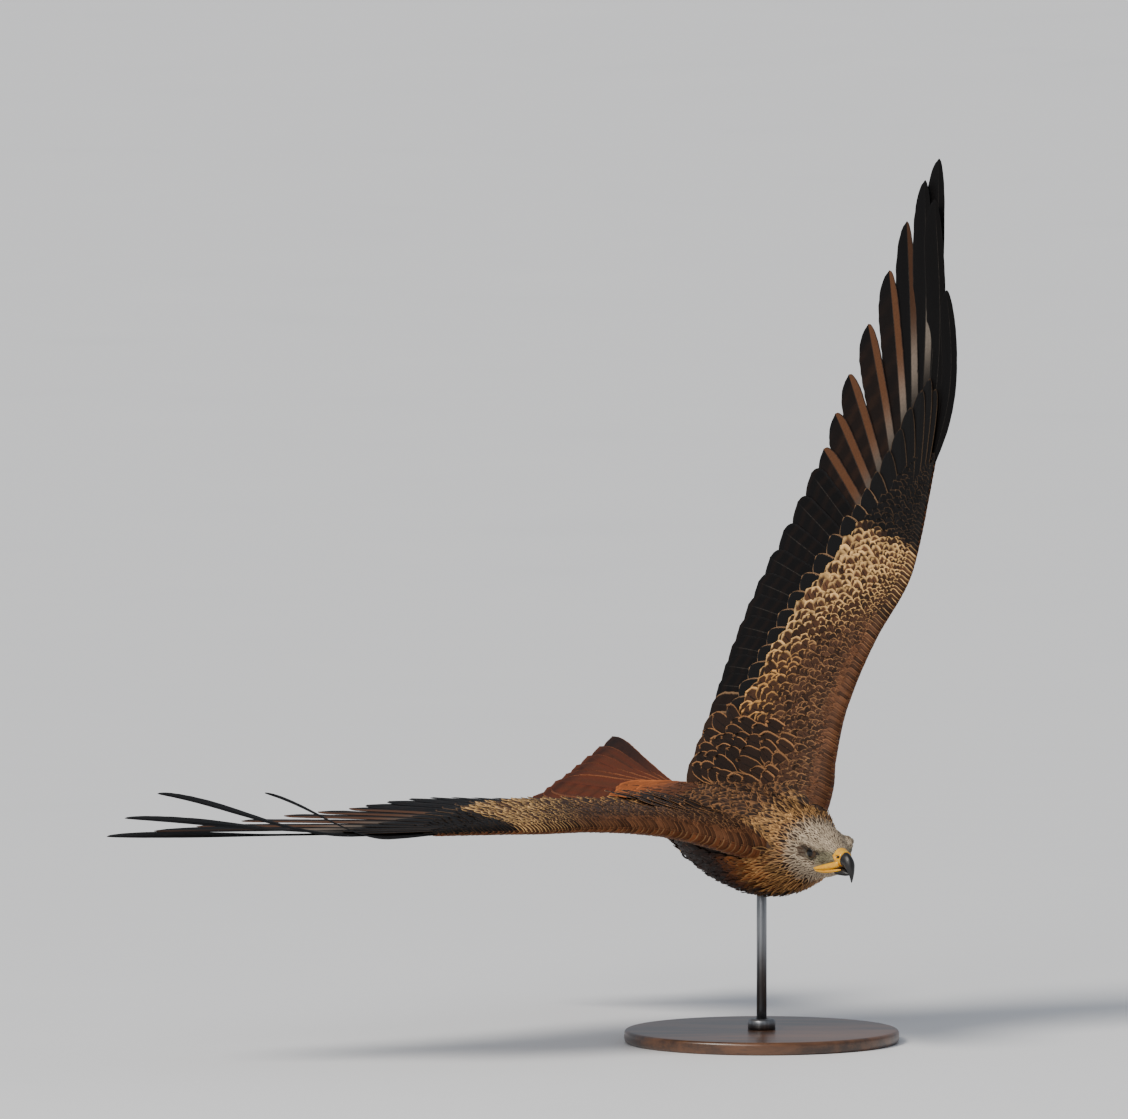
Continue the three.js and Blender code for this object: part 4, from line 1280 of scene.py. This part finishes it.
def small_coverts(side, wing):
    """Lesser and marginal coverts of the upper side."""
    rng, c = chance("lesser " + side), colours()
    spacing = through([(0, 4.6), (12, 5.6), (30, 7.8), (80, 10.0), (120, 13.5), (160, 16)])
    places = covert_lattice(rng, -6, 396, 150, spacing)
    out, fore, _ = places.T
    back = np.interp(out, [0, 60, 140, 220, 285, 320, 400], [-120, -116, -106, -92, -66, -46, -8])
    places = places[(fore > back) & (smooth(out, -10, 60) + rng.random(len(out)) > 0.2)]
    out, fore, gap = places.T
    count = len(out)
    length = gap * 2.5 * rng.uniform(0.9, 1.12, count)
    centre, fringe, width = wing_tones(out, fore)
    sheets = wing_sheets(wing, out, fore, gap, length, rng)
    drift, rim_drift = 0.3 * patches(places[:, :2], 26, 2), 0.22 * patches(places[:, :2], 38)
    return tufts(
        sheets, wing_bake(out, fore, 0), pale(centre, rng, count, 0.3, drift=drift),
        pale(fringe, rng, count, 0.18, width * rng.uniform(0.7, 1.2, count), rim_drift),
        pale(c["body_streak"], rng, count, 0.1, 0.07),
    )


def lining(side, wing):
    """Coverts under the wing, rufous with dark middles."""
    rng, c = chance("lining " + side), colours()
    places = covert_lattice(rng, 4, 392, 84, through([(0, 6.4), (40, 9.0), (90, 11.5)]))
    out, fore, _ = places.T
    out, fore, gap = places[fore > -74 + 60 * smooth(out, 290, 400)].T
    count = len(out)
    length = gap * 2.5 * rng.uniform(0.9, 1.12, count)
    sheets = wing_sheets(wing, out, fore, gap, length, rng, under=True)
    dark = column(-fore, 30, 80)
    line = mix(0.06, 0.28, smooth(LEADING(out)[:, 0] - fore, 6, 26))
    return tufts(
        sheets, wing_bake(out, fore, 1), pale(mix(c["breast"], c["body_streak"], dark), rng, count, 0.28),
        pale(mix(c["forewing_fringe"], c["breast"], dark), rng, count, 0.14, 0.3),
        pale(c["body_streak"], rng, count, 0.1, line),
    )


def scapulars(side, wing):
    """Large dark feathers with buff edges over the wing's root."""
    rng, c = chance("scapulars " + side), colours()
    places = []
    for row, fore in enumerate(np.arange(-5, -150, -21)):
        for out in np.arange(-16 + 6.5 * (row % 2), 66 - 0.1 * (24 - fore), 13.5):
            places.append((out + rng.uniform(-3, 3), fore + rng.uniform(-4, 4)))
    out, fore = np.array(places).T
    count, back = len(out), smooth(-fore, -30, 60)
    length = mix(32, 58, back) * rng.uniform(0.95, 1.06, count)
    gap = mix(9.5, 11.0, back) * rng.uniform(0.88, 1.12, count)
    shape = {"rows": 12, "cols": 9, "tip": 0.7, "base": 7.0, "climb": 4.0, "tilt": 0.9}
    return tufts(
        wing_sheets(wing, out, fore, gap, length, rng, **shape), wing_bake(out, fore, 0),
        pale(mix(c["forewing"] * 0.8, c["mantle"] * 0.5, back[:, None]), rng, count, 0.12),
        pale(c["mantle_fringe"], rng, count, 0.2, mix(0.34, 0.15, back)),
        pale(c["body_streak"], rng, count, 0.1, 0.08),
    )


class KITE_OT_wings(bpy.types.Operator):
    """Every feather of both wings"""

    bl_idname = "kite.wings"
    bl_label = "Wing feathers"

    def execute(self, context):
        flight = feather_material("flight_feathers", 9.0, 150.0, 0.25, bump=0.25, shine=0.09)
        large = feather_material("large_coverts", 4.0, 70.0, 0.3, 0.5)
        small = feather_material("lesser_coverts", 2.6, 36.0, 0.3, 0.2)
        coverts = (
            ("large_coverts_", large_coverts, large), ("lesser_coverts_", small_coverts, small),
            ("wing_lining_", lining, small), ("scapulars_", scapulars, large),
        )
        for side, pose in WINGS.items():
            wing = WingSurface(pose)
            quills = flight_feathers(side, wing).build("flight_feathers_" + side, flight)
            held(quills, "wing_feathers", "wing_" + side)
            for name, lay, material in coverts:
                held(lay(side, wing).build(name + side, material), "wing_feathers")
        return {"FINISHED"}


TAIL_FEATHERS = 6


def tail_vane(angle, length, up, outer, inside, curve, rng, rows=44):
    """Upper and lower faces of one tail feather."""
    side = 1 if angle >= 0 else -1
    lean = math.radians(angle * (1 if side > 0 else 0.93))
    across = np.array([-1, -0.7, -0.35, -0.1, -0.03, 0.03, 0.1, 0.35, 0.7, 1])
    t = 1 - (1 - np.linspace(0, 1, rows)) ** 1.2
    inner = vane_width(t, 0.8)[:, None] * across * np.where(across < 0, outer, inside)
    inner = inner * (1 + rng.uniform(-0.03, 0.02, inner.shape) * np.abs(across) ** 3)
    along = mix(8.0, length, t)[:, None] + 0 * inner
    beside = side * (curve * t[:, None] ** 2 - inner)
    ridge = np.exp(-((across / 0.05) ** 2)) * mix(0.9, 0.25, t)[:, None]
    half = VANE_THICK / 2 * mix(1, 0.4, np.abs(across) ** 4)
    back = along * math.cos(lean) - beside * math.sin(lean)
    aside = along * math.sin(lean) + beside * math.cos(lean)
    curl = 0.04 * np.maximum(-aside, 0) - np.abs(across) ** 2
    upper = on_tail(back, aside, up + ridge * 0.7 + curl + half)
    lower = on_tail(back, aside, up + curl - ridge * 0.3 - half)
    return upper[None], lower[None], t[:, None] + 0 * inner, np.broadcast_to(across, inner.shape)


def tail_tones(number, t, across):
    """Upper and lower colours of a tail feather, point by point."""
    c = colours()
    bars = column(0.5 + 0.5 * np.sin(t * 62 + np.abs(across) * 1.2), 0.6, 0.95)
    outer = smooth(number, 4.5, 6)
    top = c["tail"] * (1 - 0.4 * bars * (across > 0)[..., None])
    streaks = 0.5 + 0.5 * np.sin(across * 8 + number * 2.4 + 3 * t)
    top = mix(top, c["rump"] * 0.8, streaks[..., None] * 0.6)
    top = mix(top, c["body_streak"], outer * column(t, 0.2, 0.8) * 0.8)
    top = mix(top, c["quill"] * 1.5, (1 - column(t, 0.95, 0.99)) * column(t, 0.86, 0.95) * 0.45)
    under = c["tail_under"] * (1 - 0.3 * bars)
    under = mix(under, c["body_streak"] * 2, outer * column(t, 0.7, 0.95) * 0.5)
    return top[None], under[None]


class KITE_OT_tail(bpy.types.Operator):
    """The forked tail and its coverts"""

    bl_idname = "kite.tail"
    bl_label = "Tail feathers"

    def execute(self, context):
        rng, c = chance("tail"), colours()
        material = feather_material("tail_feathers", 9.0, 150.0, 0.25, bump=0.25)
        held(self.feathers(rng, c).build("tail_feathers", material), "tail_feathers", "tail")
        material = feather_material("tail_coverts", 3.4, 50.0, 0.3, 0.1)
        held(self.coverts(rng, c).build("tail_coverts", material), "tail_feathers")
        return {"FINISHED"}

    def feathers(self, rng, c):
        """Six feathers a side, each a layer under the one nearer the middle."""
        plumage = Plumage()
        fringe, streak = four(c["tail_tip"], 0.07), four(c["body_streak"], 0.035)
        for slot in range(2 * TAIL_FEATHERS):
            number, side = slot // 2 + 1, (-1, 1)[slot % 2]
            share = (number - 1) / (TAIL_FEATHERS - 1)
            layer = number if number > 1 or side < 0 else 0
            under_twin = 0.45 if side < 0 and number > 1 else 0
            upper, lower, t, across = tail_vane(
                side * TAIL_SPREAD * ((number - 0.6) / (TAIL_FEATHERS - 0.6)) * 0.92,
                mix(TAIL_LENGTH["middle"], TAIL_LENGTH["outer"], share**1.3),
                3 - (layer + under_twin) * LAYER, mix(22, 9, share), 24, 9 * share, rng,
            )
            top, under = tail_tones(number, t, across)
            bake = strip_patch(slot, 2 * TAIL_FEATHERS)
            plumage.lay(upper, bake, four(top), fringe, streak, lower, four(under))
        return plumage

    def coverts(self, rng, c):
        """Feathers that close the step from the rump to the tail, above and below."""
        plumage = Plumage()
        for above in (True, False):
            sheets, places, tones = [], [], []
            for row, along in enumerate(np.arange(-26, 88, 8.5)):
                size, share = smooth(along, -20, 90), smooth(along, -10, 60)
                root, end = (c["rump"], c["tail_cover"]) if above else (c["breast"], c["tail_under"])
                tone = mix(root, end, share)
                for turn in np.linspace(-1.25, 1.25, int(mix(13, 6, row / 13)) + row % 2):
                    back, aside, up = self.covert(turn, along, size, above, rng)
                    sheets.append(on_tail(back, aside, up if above else -up))
                    places.append((0.5 + aside[0, 3] / 100, 0.1 + (along + 26) / 300 + (0 if above else 0.5)))
                    tones.append(tone)
            count, tones = len(sheets), np.array(tones)
            plumage.lay(
                np.array(sheets), tuft_patches(places), pale(tones, rng, count, 0.12),
                pale(np.clip(tones * 1.6, 0, 1), rng, count, 0.16, 0.3),
                pale(c["body_streak"], rng, count, 0.1, 0.1),
            )
        return plumage

    def covert(self, turn, along, size, above, rng):
        """Back, aside and up of one covert that lies on the tail's flesh, then on its vanes."""
        start = along + rng.uniform(-3, 3)
        length = mix(36, 62, size) * rng.uniform(0.8, 1.12)
        v, width, across = leaf(9, 7, 0.5, 0.65)
        back = start + v * length
        wide, high, low = TAIL_FLESH(np.clip(back, -9, 112)).T
        turned_to = turn * mix(1, 0.85, v)
        round_up = np.maximum((high if above else low) * np.cos(turned_to), 4.2)
        away = (1.0 + 1.6 * smooth(v, 0, 0.7)) * rng.uniform(0.8, 1.2)
        spread = width * mix(8.0, 12.5, size)
        aside = (wide * np.sin(turned_to))[:, None] * 1.02 + spread[:, None] * across
        up = (round_up + away)[:, None] - 0.16 * spread[:, None] * across**2 - np.abs(aside) * 0.12
        up = mix(up, 4.2 + away[:, None], column(back, 60, 120) * 0.8)
        return back[:, None] + 0 * aside, aside, up


# Head details: eyes and lids, cere, bill
SIDES = {"left": 1, "right": -1}


def smooth_rings(name, rings, material, levels=1):
    """Lofts as one piece, with each face split in four when `levels` is 1."""
    made = lofts_mesh(name, rings, material)
    if levels:
        finer = made.modifiers.new("finer", "SUBSURF")
        finer.levels = finer.render_levels = levels
    return made


RIDGE = through([
    (0, 43.6, 9.8, 43.6, -5.2, 6.6),
    (0.3, 49.6, 8, 47.4, -5.8, 5.6),
    (0.55, 54.4, 3.8, 50.2, -6.8, 5),
    (0.75, 57, -2.4, 52.2, -8.6, 3.8),
    (0.9, 57.8, -9.8, 54.4, -12.4, 2.2),
    (1, 56.2, -17.8, 55.8, -18, 0.5),
])
JAW = through([(32, -6.4, -15, 7.2), (42, -6.2, -13.8, 6), (48, -7.3, -12.6, 4.4), (52.4, -9.4, -11, 1.6)])
CERE = through([(28, 4.0, 9.6, 9.6), (36, 3.2, 8.2, 8.6), (44, 2.4, 6.8, 7.4)])


def bill_upper_rings(steps=30, count=32):
    angle = circle(count)
    squeeze = 1 - 0.28 * np.clip(np.sin(angle), 0, 1) ** 2
    rings = []
    for top_x, top_z, low_x, low_z, wide in RIDGE(np.linspace(0, 1, steps)):
        centre = np.array([(top_x + low_x) / 2, 0, (top_z + low_z) / 2])
        up = np.array([(top_x - low_x) / 2, 0, (top_z - low_z) / 2])
        across = (np.cos(angle) * wide * squeeze)[:, None] * [0, 1, 0]
        rings.append(centre + across + np.sin(angle)[:, None] * up)
    return on_head(np.array(rings))


def bill_lower_rings(steps=16, count=24):
    rings = []
    for x in np.linspace(32, 52.4, steps):
        top, low, wide = JAW(x)
        half = (top - low) / 2
        rings.append(oval_ring((x, 0, (top + low) / 2), wide, half, half, count))
    return on_head(np.array(rings))


NOSTRIL = {"x": 39.4, "z": 4.6, "long": 3.4, "high": 1.5, "deep": 2.0}


def cere_rings(steps=34, count=64):
    """The cere, with a dent and a raised rim for each nostril."""
    rings = []
    for x in np.linspace(27, CERE_END + 0.4, steps):
        height, wide, tall = CERE(x)
        ring = oval_ring((x, 0, height), wide, tall, tall, count)
        along, up = ring[:, 0] - NOSTRIL["x"], ring[:, 2] - NOSTRIL["z"]
        off = (along / NOSTRIL["long"]) ** 2 + (up / NOSTRIL["high"]) ** 2
        dent = NOSTRIL["deep"] * np.exp(-(off**2)) - 0.35 * np.exp(-((np.sqrt(off) - 1.7) ** 2) * 6)
        ring[:, 1] -= np.sign(ring[:, 1]) * dent * (np.abs(ring[:, 1]) > 3)
        rings.append(ring)
    return on_head(np.array(rings))


LIPS = {
    "upper": (
        ((41.5, 5.2, -1.4), (33, 10.4, -5.0), (24, 15.0, -8.0), (15, 18.6, -10.2)), (3.0, 3.1, 2.5, 0.9)
    ),
    "lower": (
        ((43, 4.4, -7.4), (33, 9.6, -9.6), (24, 14.2, -11.4), (15.5, 17.8, -12.0)), (0.7, 2.0, 1.7, 0.7)
    ),
}


def lip_rings(side, key):
    line, radii = LIPS[key]
    return on_head(tapered(mirrored(line, side), radii, 24, 14))


def nostril_rings(side):
    """A dark slit sunk in the cere."""
    deep = CERE(NOSTRIL["x"])[1] - NOSTRIL["deep"] * 0.62
    middle = np.array([NOSTRIL["x"], side * deep, NOSTRIL["z"]])
    around = circle(12)
    oval = np.stack([0.5 * np.cos(around), np.sin(around), -0.9 * np.cos(around)], -1)
    rings = []
    for share in np.linspace(0, math.pi, 11):
        reach = np.array([2.2, 0, 1.5]) * math.cos(share)
        rings.append(middle + reach + (0.95 * math.sin(share) + 0.02) * oval)
    return on_head(np.array(rings))


class KITE_OT_bill(bpy.types.Operator):
    """Cere with its nostrils and lips, and the hooked bill"""

    bl_idname = "kite.bill"
    bl_label = "Cere and bill"

    def execute(self, context):
        yellow = colours()["cere"]
        waxy = mottled_material(
            "cere_skin", yellow, yellow * [0.9, 0.74, 0.5], 260.0, bump=0.25, Coat_Weight=0.25,
            Subsurface_Weight=0.15, Subsurface_Scale=0.002,
        )
        lips = [lip_rings(side, key) for side in (1, -1) for key in LIPS]
        held(smooth_rings("cere_skin", [cere_rings(), *lips], waxy), "cere_skin", "cere")
        horn = mottled_material(
            "horn", paint(15, 14, 15), paint(34, 32, 32), 140.0, bump=0.12, stretch=(1, 1, 0.3),
            Coat_Weight=0.2, Coat_Roughness=0.3, Specular_IOR_Level=0.3,
        )
        held(smooth_rings("bill_hook", [bill_upper_rings()], horn), "horn", "bill_upper")
        held(smooth_rings("nostrils", [nostril_rings(1), nostril_rings(-1)], horn, 0), "horn")
        held(smooth_rings("bill_jaw", [bill_lower_rings()], horn), "horn", "bill_lower")
        return {"FINISHED"}


def eye_material():
    """Dark amber iris round a black pupil, by how far each point lies off the eye's axis."""
    shader = {"Coat_Weight": 0.55, "Coat_Roughness": 0.03, "Specular_IOR_Level": 0.05}
    material, tree, surface = bare_material("eye", 0.3, **shader)
    ring = node(tree, "ShaderNodeAttribute", attribute_name="ring").outputs["Fac"]
    stops = node(tree, "ShaderNodeValToRGB", ring)
    tones = (
        (0.0, (0.002, 0.002, 0.002)), (0.27, (0.002, 0.002, 0.002)), (0.31, (0.034, 0.016, 0.006)),
        (0.46, (0.062, 0.032, 0.010)), (0.56, (0.022, 0.012, 0.005)), (0.62, (0.006, 0.004, 0.003)),
    )
    elements = stops.color_ramp.elements
    while len(elements) < len(tones):
        elements.new(0.5)
    for element, (place, tone) in zip(elements, tones):
        element.position = place
        element.color = (*tone, 1)
    feed(tree, surface["Base Color"], stops.outputs[0])
    return material


def eye_middle(side):
    return np.array([EYE["x"], side * EYE["y"], EYE["z"]])


def eye_mesh(side, name, material):
    """Eyeball about its own axis, with the cornea swollen over the iris."""
    axis = unit(np.array([0.34, side, 0.06]))
    first = unit(np.cross(axis, [0, 0, 1.0]))
    second = np.cross(axis, first)
    polar = np.linspace(0.02, math.pi - 0.02, 40)
    angle = circle(48)[:, None]
    radius = EYE["radius"] * (1 + 0.05 * np.exp(-((polar / 0.55) ** 4)))[:, None, None]
    deep, wide = np.cos(polar)[:, None, None], np.sin(polar)[:, None, None]
    turn = np.cos(angle) * first + np.sin(angle) * second
    rings = eye_middle(side) + radius * (deep * axis + wide * turn)
    made = lofts_mesh("eyeball_" + name, [on_head(rings)], material)
    ring = made.data.attributes.new("ring", "FLOAT", "POINT")
    ring.data.foreach_set("value", np.repeat(np.clip(polar / 1.5, 0, 1), len(angle)))
    return made


def lid_mesh(side, name, material):
    """Bare rim between the eye and the face, almond shaped and thicker under the brow."""
    axis = unit(np.array([0.30, side, 0.04]))
    fore = unit(np.array([1.0, -side * 0.30, -0.20]))
    over = unit(np.cross(axis, fore)) * side
    angle = circle(56)
    rings = []
    for outward, lifted in ((0.0, -1.0), (0.0, 0.4), (0.5, 0.9), (1.3, 0.9), (2.4, -0.1), (3.4, -2.2)):
        long, high = 6.9 + outward, np.where(np.sin(angle) > 0, 4.9, 5.9) + outward
        x, z = long * np.cos(angle) * (1 + 0.06 * np.cos(angle)), high * np.sin(angle)
        deep = np.sqrt(np.maximum(EYE["radius"] ** 2 - x**2 - z**2, 4.0)) + lifted + 0.5
        deep = np.where(outward > 1.5, np.maximum(deep, 4.2), deep)
        rings.append(eye_middle(side) + axis * deep[:, None] + fore * x[:, None] + over * z[:, None])
    return smooth_rings("lids_" + name, [on_head(np.array(rings))], material)


class KITE_OT_eyes(bpy.types.Operator):
    """Eyes with their lids"""

    bl_idname = "kite.eyes"
    bl_label = "Eyes and lids"

    def execute(self, context):
        glossy = eye_material()
        rim = mottled_material("lid_skin", paint(78, 68, 40), paint(34, 29, 22), 500.0, bump=0.3)
        for name, side in SIDES.items():
            held(eye_mesh(side, name, glossy), "eye", "eye_" + name)
            held(lid_mesh(side, name, rim), "cere_skin")
        return {"FINISHED"}



# Legs, drawn up against the belly


# Where the feet lie, and each toe's lean to the side and its reach
FOOT_X, FOOT_Y = -99, 18
TOES = ((-0.9, 27), (0, 31), (0.9, 27))


def toe_rings(side, spread, reach, radius=3.3):
    stations = ((0, 2, -45), (0.5, 6, -42), (0.95, 7, -45), (1, 6.5, -49))
    path = [(FOOT_X - reach * share, side * FOOT_Y + spread * lean, z) for share, lean, z in stations]
    return tapered(path, (radius, radius * 0.9, radius * 0.82, radius * 0.6), 18, 14)


def claw_rings(side, spread, reach):
    start = np.array((FOOT_X - reach + 0.5, side * FOOT_Y + spread * 6.5, -48))
    path = (start, start + [-2.5, 0, -4], start + [-0.5, 0, -8.5], start + [3.6, 0, -10.5])
    return tapered(path, (1.9, 1.7, 1.1, 0.25), 14, 10)


class KITE_OT_legs(bpy.types.Operator):
    """Feet tucked under the belly, with thigh feathers over them"""

    bl_idname = "kite.legs"
    bl_label = "Legs"

    def execute(self, context):
        c, rng = colours(), chance("legs")
        scaly = mottled_material("leg_scales", c["foot"], c["foot"] * [0.74, 0.62, 0.4], 420.0, bump=0.5)
        black, grey = paint(22, 20, 20), paint(44, 40, 38)
        claw = mottled_material("claws", black, grey, 200.0, bump=0.1, Coat_Weight=0.3)
        for name, side in SIDES.items():
            bones = ((-44, side * 25, -46), (-76, side * 22, -51), (-102, side * FOOT_Y, -45))
            shank = tapered(bones, (8.0, 4.6, 3.9), 26, 18)
            toes = [toe_rings(side, *toe) for toe in TOES]
            held(smooth_rings("foot_" + name, [shank, *toes], scaly), "leg_skin", "leg_" + name)
            held(smooth_rings("claws_" + name, [claw_rings(side, *toe) for toe in TOES], claw), "horn")
            thigh = feather_material("thigh_" + name, 3.0, 40.0, 0.35, 0.05)
            held(self.thigh(side, rng, c).build("thigh_feathers_" + name, thigh), "body_feathers")
        return {"FINISHED"}

    def thigh(self, side, rng, c, count=320):
        """Long loose feathers that hang back from the thigh over the shank."""
        x = rng.uniform(-92, 12, count)
        y = side * rng.uniform(8, 44, count)
        height, wide, _, below = np.moveaxis(BODY(x), -1, 0)
        z = height - below * np.sqrt(np.maximum(1 - (y / wide) ** 2, 0.05))
        heading = np.array([-1.0, -0.06 * side, 0.0]) + rng.normal(0, 0.07, (count, 3))
        length, half = rng.uniform(34, 44, count), rng.uniform(5.5, 7.5, count)
        lift = (9 * smooth(-x, -10, 50) + 4 * smooth(-x, 45, 85) + 3.5) * rng.uniform(0.92, 1.03, count)
        # Painted shade: the thigh feathers take the near-black belly colour, for the shadow under the body.
        tones = (
            pale(c["belly"], rng, count, 0.14), pale(c["breast"], rng, count, 0.1, 0.3),
            pale(c["body_streak"], rng, count, 0.1, 0.2),
        )
        bake = np.stack([(y + 70) / 140, (x + 140) / 320], -1)
        return coat_over(np.stack([x, y, z], -1), heading, length, half, lift, rng, tones, bake)


# Stand and studio. Lathed profiles stop short of the axis by the core, in metres
CORE, ROD_CORE, EDGE_ROUND = 0.0004, 0.0003, 0.004


def lathe(name, profile, material, count=96):
    """A turned piece about the vertical axis, from (radius, height) pairs in metres."""
    angle = circle(count)
    rings = [np.stack([r * np.cos(angle), r * np.sin(angle), 0 * angle + z], -1) for r, z in profile]
    return new_mesh(name, rings, loft_faces(len(rings), count), material)


def wood_material():
    """Stained wood, with its grain along X and dark pores."""
    material, tree, surface = bare_material("stand_wood", 0.35, Coat_Weight=0.3, Coat_Roughness=0.25)
    long = {"Scale": (1.2, 9.0, 9.0)}
    stretch = node(tree, "ShaderNodeMapping", object_place(tree), inputs=long).outputs[0]
    grain, pores = noise(tree, stretch, 5.0, 8.0, 0.6), noise(tree, stretch, 60.0, 4.0, 0.7)
    light, dark, black = ((*paint(*tone), 1) for tone in ((98, 64, 40), (52, 33, 22), (30, 19, 13)))
    toned = blend(tree, ramp_down(tree, grain, 0.38, 0.62), light, dark)
    speck = calc(tree, "MULTIPLY", ramp_down(tree, pores, 0.32, 0.46), 0.5)
    feed(tree, surface["Base Color"], blend(tree, speck, toned, black))
    raised(tree, surface, pores, 0.1, 0.0004)
    return material


class KITE_OT_stand(bpy.types.Operator):
    """Turned base, collar and rod"""

    bl_idname = "kite.stand"
    bl_label = "Stand"

    def execute(self, context):
        _, base_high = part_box("stand_base")
        radius, height = float(base_high[0]), float(base_high[2])
        inside, low = radius - EDGE_ROUND, height - EDGE_ROUND
        turns = np.linspace(math.pi / 2, 0, 9)
        rounded = [(inside + EDGE_ROUND * math.sin(a), low + EDGE_ROUND * math.cos(a)) for a in turns]
        foot = [(CORE, 0.0), (radius - 0.003, 0.0), (radius - 0.001, 0.0012), (radius, 0.004)]
        top = [(radius, low - 0.0012), *rounded, (radius - 0.012, height), (CORE, height)]
        held(lathe("turned_base", foot + top, wood_material()), "stand_wood", "stand_base")
        steel = mottled_material(
            "brushed_steel", paint(150, 152, 155), paint(120, 122, 126), 220.0, bump=0.05,
            stretch=(1, 1, 0.04), Metallic=1.0,
        )
        _, collar_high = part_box("stand_collar")
        rim, top = float(collar_high[0]), float(collar_high[2])
        floor = height + 0.0004
        collar = [
            (0.0062, floor), (rim, floor), (rim, top - 0.003), (rim - 0.001, top - 0.001), (rim - 0.004, top),
            (0.0075, top), (0.0062, top - 0.0015),
        ]
        held(lathe("rod_collar", collar, steel), "stand_metal", "stand_collar")
        _, rod_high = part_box("stand_rod")
        thin, end = float(rod_high[0]), float(rod_high[2])
        rod = [(ROD_CORE, floor), (thin, floor)]
        rod += [(thin, end - 0.004), (thin * 0.8, end - 0.001), (ROD_CORE, end)]
        held(lathe("steel_rod", rod, steel, 48), "stand_metal", "stand_rod")
        return {"FINISHED"}


FRAME_WIDTH, FRAME_HEIGHT = 1128, 1119
PIXELS_PER_METRE = 917.0
BIRD_PIXEL = (746.8, 824.0)
AIM_POINT = (-0.0161, 0.0293, 0.236)
ELEVATION = 5.0
SENSOR = 36.0
FLOOR_REACH, FLOOR_STEPS = 150.0, 8


def add_light(name, kind, at, aim, power, tone, **settings):
    """A lamp at one place, turned towards another."""
    lamp = bpy.data.lights.new(name, kind)
    lamp.energy, lamp.color = power, tone
    for key, value in settings.items():
        setattr(lamp, key, value)
    made = shown(name, lamp)
    made.location = at
    made.rotation_euler = (Vector(aim) - Vector(at)).to_track_quat("-Z", "Y").to_euler()


class KITE_OT_studio(bpy.types.Operator):
    """Pale floor, soft lights and the camera"""

    bl_idname = "kite.studio"
    bl_label = "Studio and camera"

    def execute(self, context):
        self.camera(context.scene)
        context.scene.world = bpy.data.worlds.new("studio")
        context.scene.world.use_nodes = True
        sky = context.scene.world.node_tree.nodes["Background"].inputs
        sky["Color"].default_value = (0.84, 0.90, 1.0, 1)
        sky["Strength"].default_value = 0.42
        add_light("key", "SUN", (0, 0, 0), (2.4, 2.0, -3.4), 3.0, (1.0, 0.95, 0.87), angle=math.radians(24))
        area = {"shape": "DISK", "size": 1.8}
        add_light("front", "AREA", (-1.2, -3.4, 2.0), (-0.2, 0.0, 0.45), 40, (1.0, 0.97, 0.92), **area)
        ground = paint(243, 244, 246)
        dull = {"Specular_IOR_Level": 0.1}
        plaster = mottled_material("pale_floor", ground, ground * 0.98, 3.0, bump=0.02, **dull)
        line = np.linspace(-FLOOR_REACH, FLOOR_REACH, FLOOR_STEPS)
        x, y = np.meshgrid(line, line, indexing="ij")
        faces = grid_faces(FLOOR_STEPS, FLOOR_STEPS, True).tolist()
        floor = new_mesh("floor", np.stack([x, y, 0 * x], -1), faces, plaster)
        return {"FINISHED"}

    def camera(self, scene):
        """Level camera a little above the bird, which keeps the photo's framing."""
        tilt = math.radians(ELEVATION)
        up = Vector((0, math.sin(tilt), math.cos(tilt)))
        back = Vector((0, -math.cos(tilt), math.sin(tilt)))
        right = (FRAME_WIDTH / 2 - BIRD_PIXEL[0]) / PIXELS_PER_METRE
        rise = (BIRD_PIXEL[1] - FRAME_HEIGHT / 2) / PIXELS_PER_METRE
        aim = Vector(AIM_POINT) + Vector((right, 0, 0)) + up * rise
        distance = sizes().camera_distance
        camera = bpy.data.cameras.new("camera")
        camera.sensor_width = SENSOR
        camera.lens = SENSOR * distance * PIXELS_PER_METRE / FRAME_WIDTH
        camera.clip_end = 400
        made = shown("camera", camera)
        made.location = aim + back * distance
        made.rotation_euler = (math.radians(90) - tilt, 0, 0)
        scene.camera = made


class KITE_PT_panel(bpy.types.Panel):
    """Lists the pieces of the kite"""

    bl_label = "Red kite"
    bl_idname = "KITE_PT_panel"
    bl_space_type = "VIEW_3D"
    bl_region_type = "UI"
    bl_category = "Red kite"

    def draw(self, context):
        for key in KiteSizes.__annotations__:
            self.layout.prop(context.scene.kite_sizes, key)
        for key in KiteColours.__annotations__:
            self.layout.prop(context.scene.kite_colours, key)
        for operator in OPERATORS:
            self.layout.operator(operator.bl_idname)


OPERATORS = (
    KITE_OT_studio, KITE_OT_skin, KITE_OT_body_coat, KITE_OT_head_coat, KITE_OT_wings, KITE_OT_tail,
    KITE_OT_bill, KITE_OT_eyes, KITE_OT_legs, KITE_OT_stand,
)
CLASSES = (KiteColours, KiteSizes, *OPERATORS, KITE_PT_panel)


def register():
    for made in CLASSES:
        bpy.utils.register_class(made)
    bpy.types.Scene.kite_colours = PointerProperty(type=KiteColours)
    bpy.types.Scene.kite_sizes = PointerProperty(type=KiteSizes)


def unregister():
    del bpy.types.Scene.kite_sizes
    del bpy.types.Scene.kite_colours
    for made in reversed(CLASSES):
        bpy.utils.unregister_class(made)


def main():
    register()
    for operator in OPERATORS:
        group, name = operator.bl_idname.split(".")
        getattr(getattr(bpy.ops, group), name)()


if __name__ == "__main__":
    main()
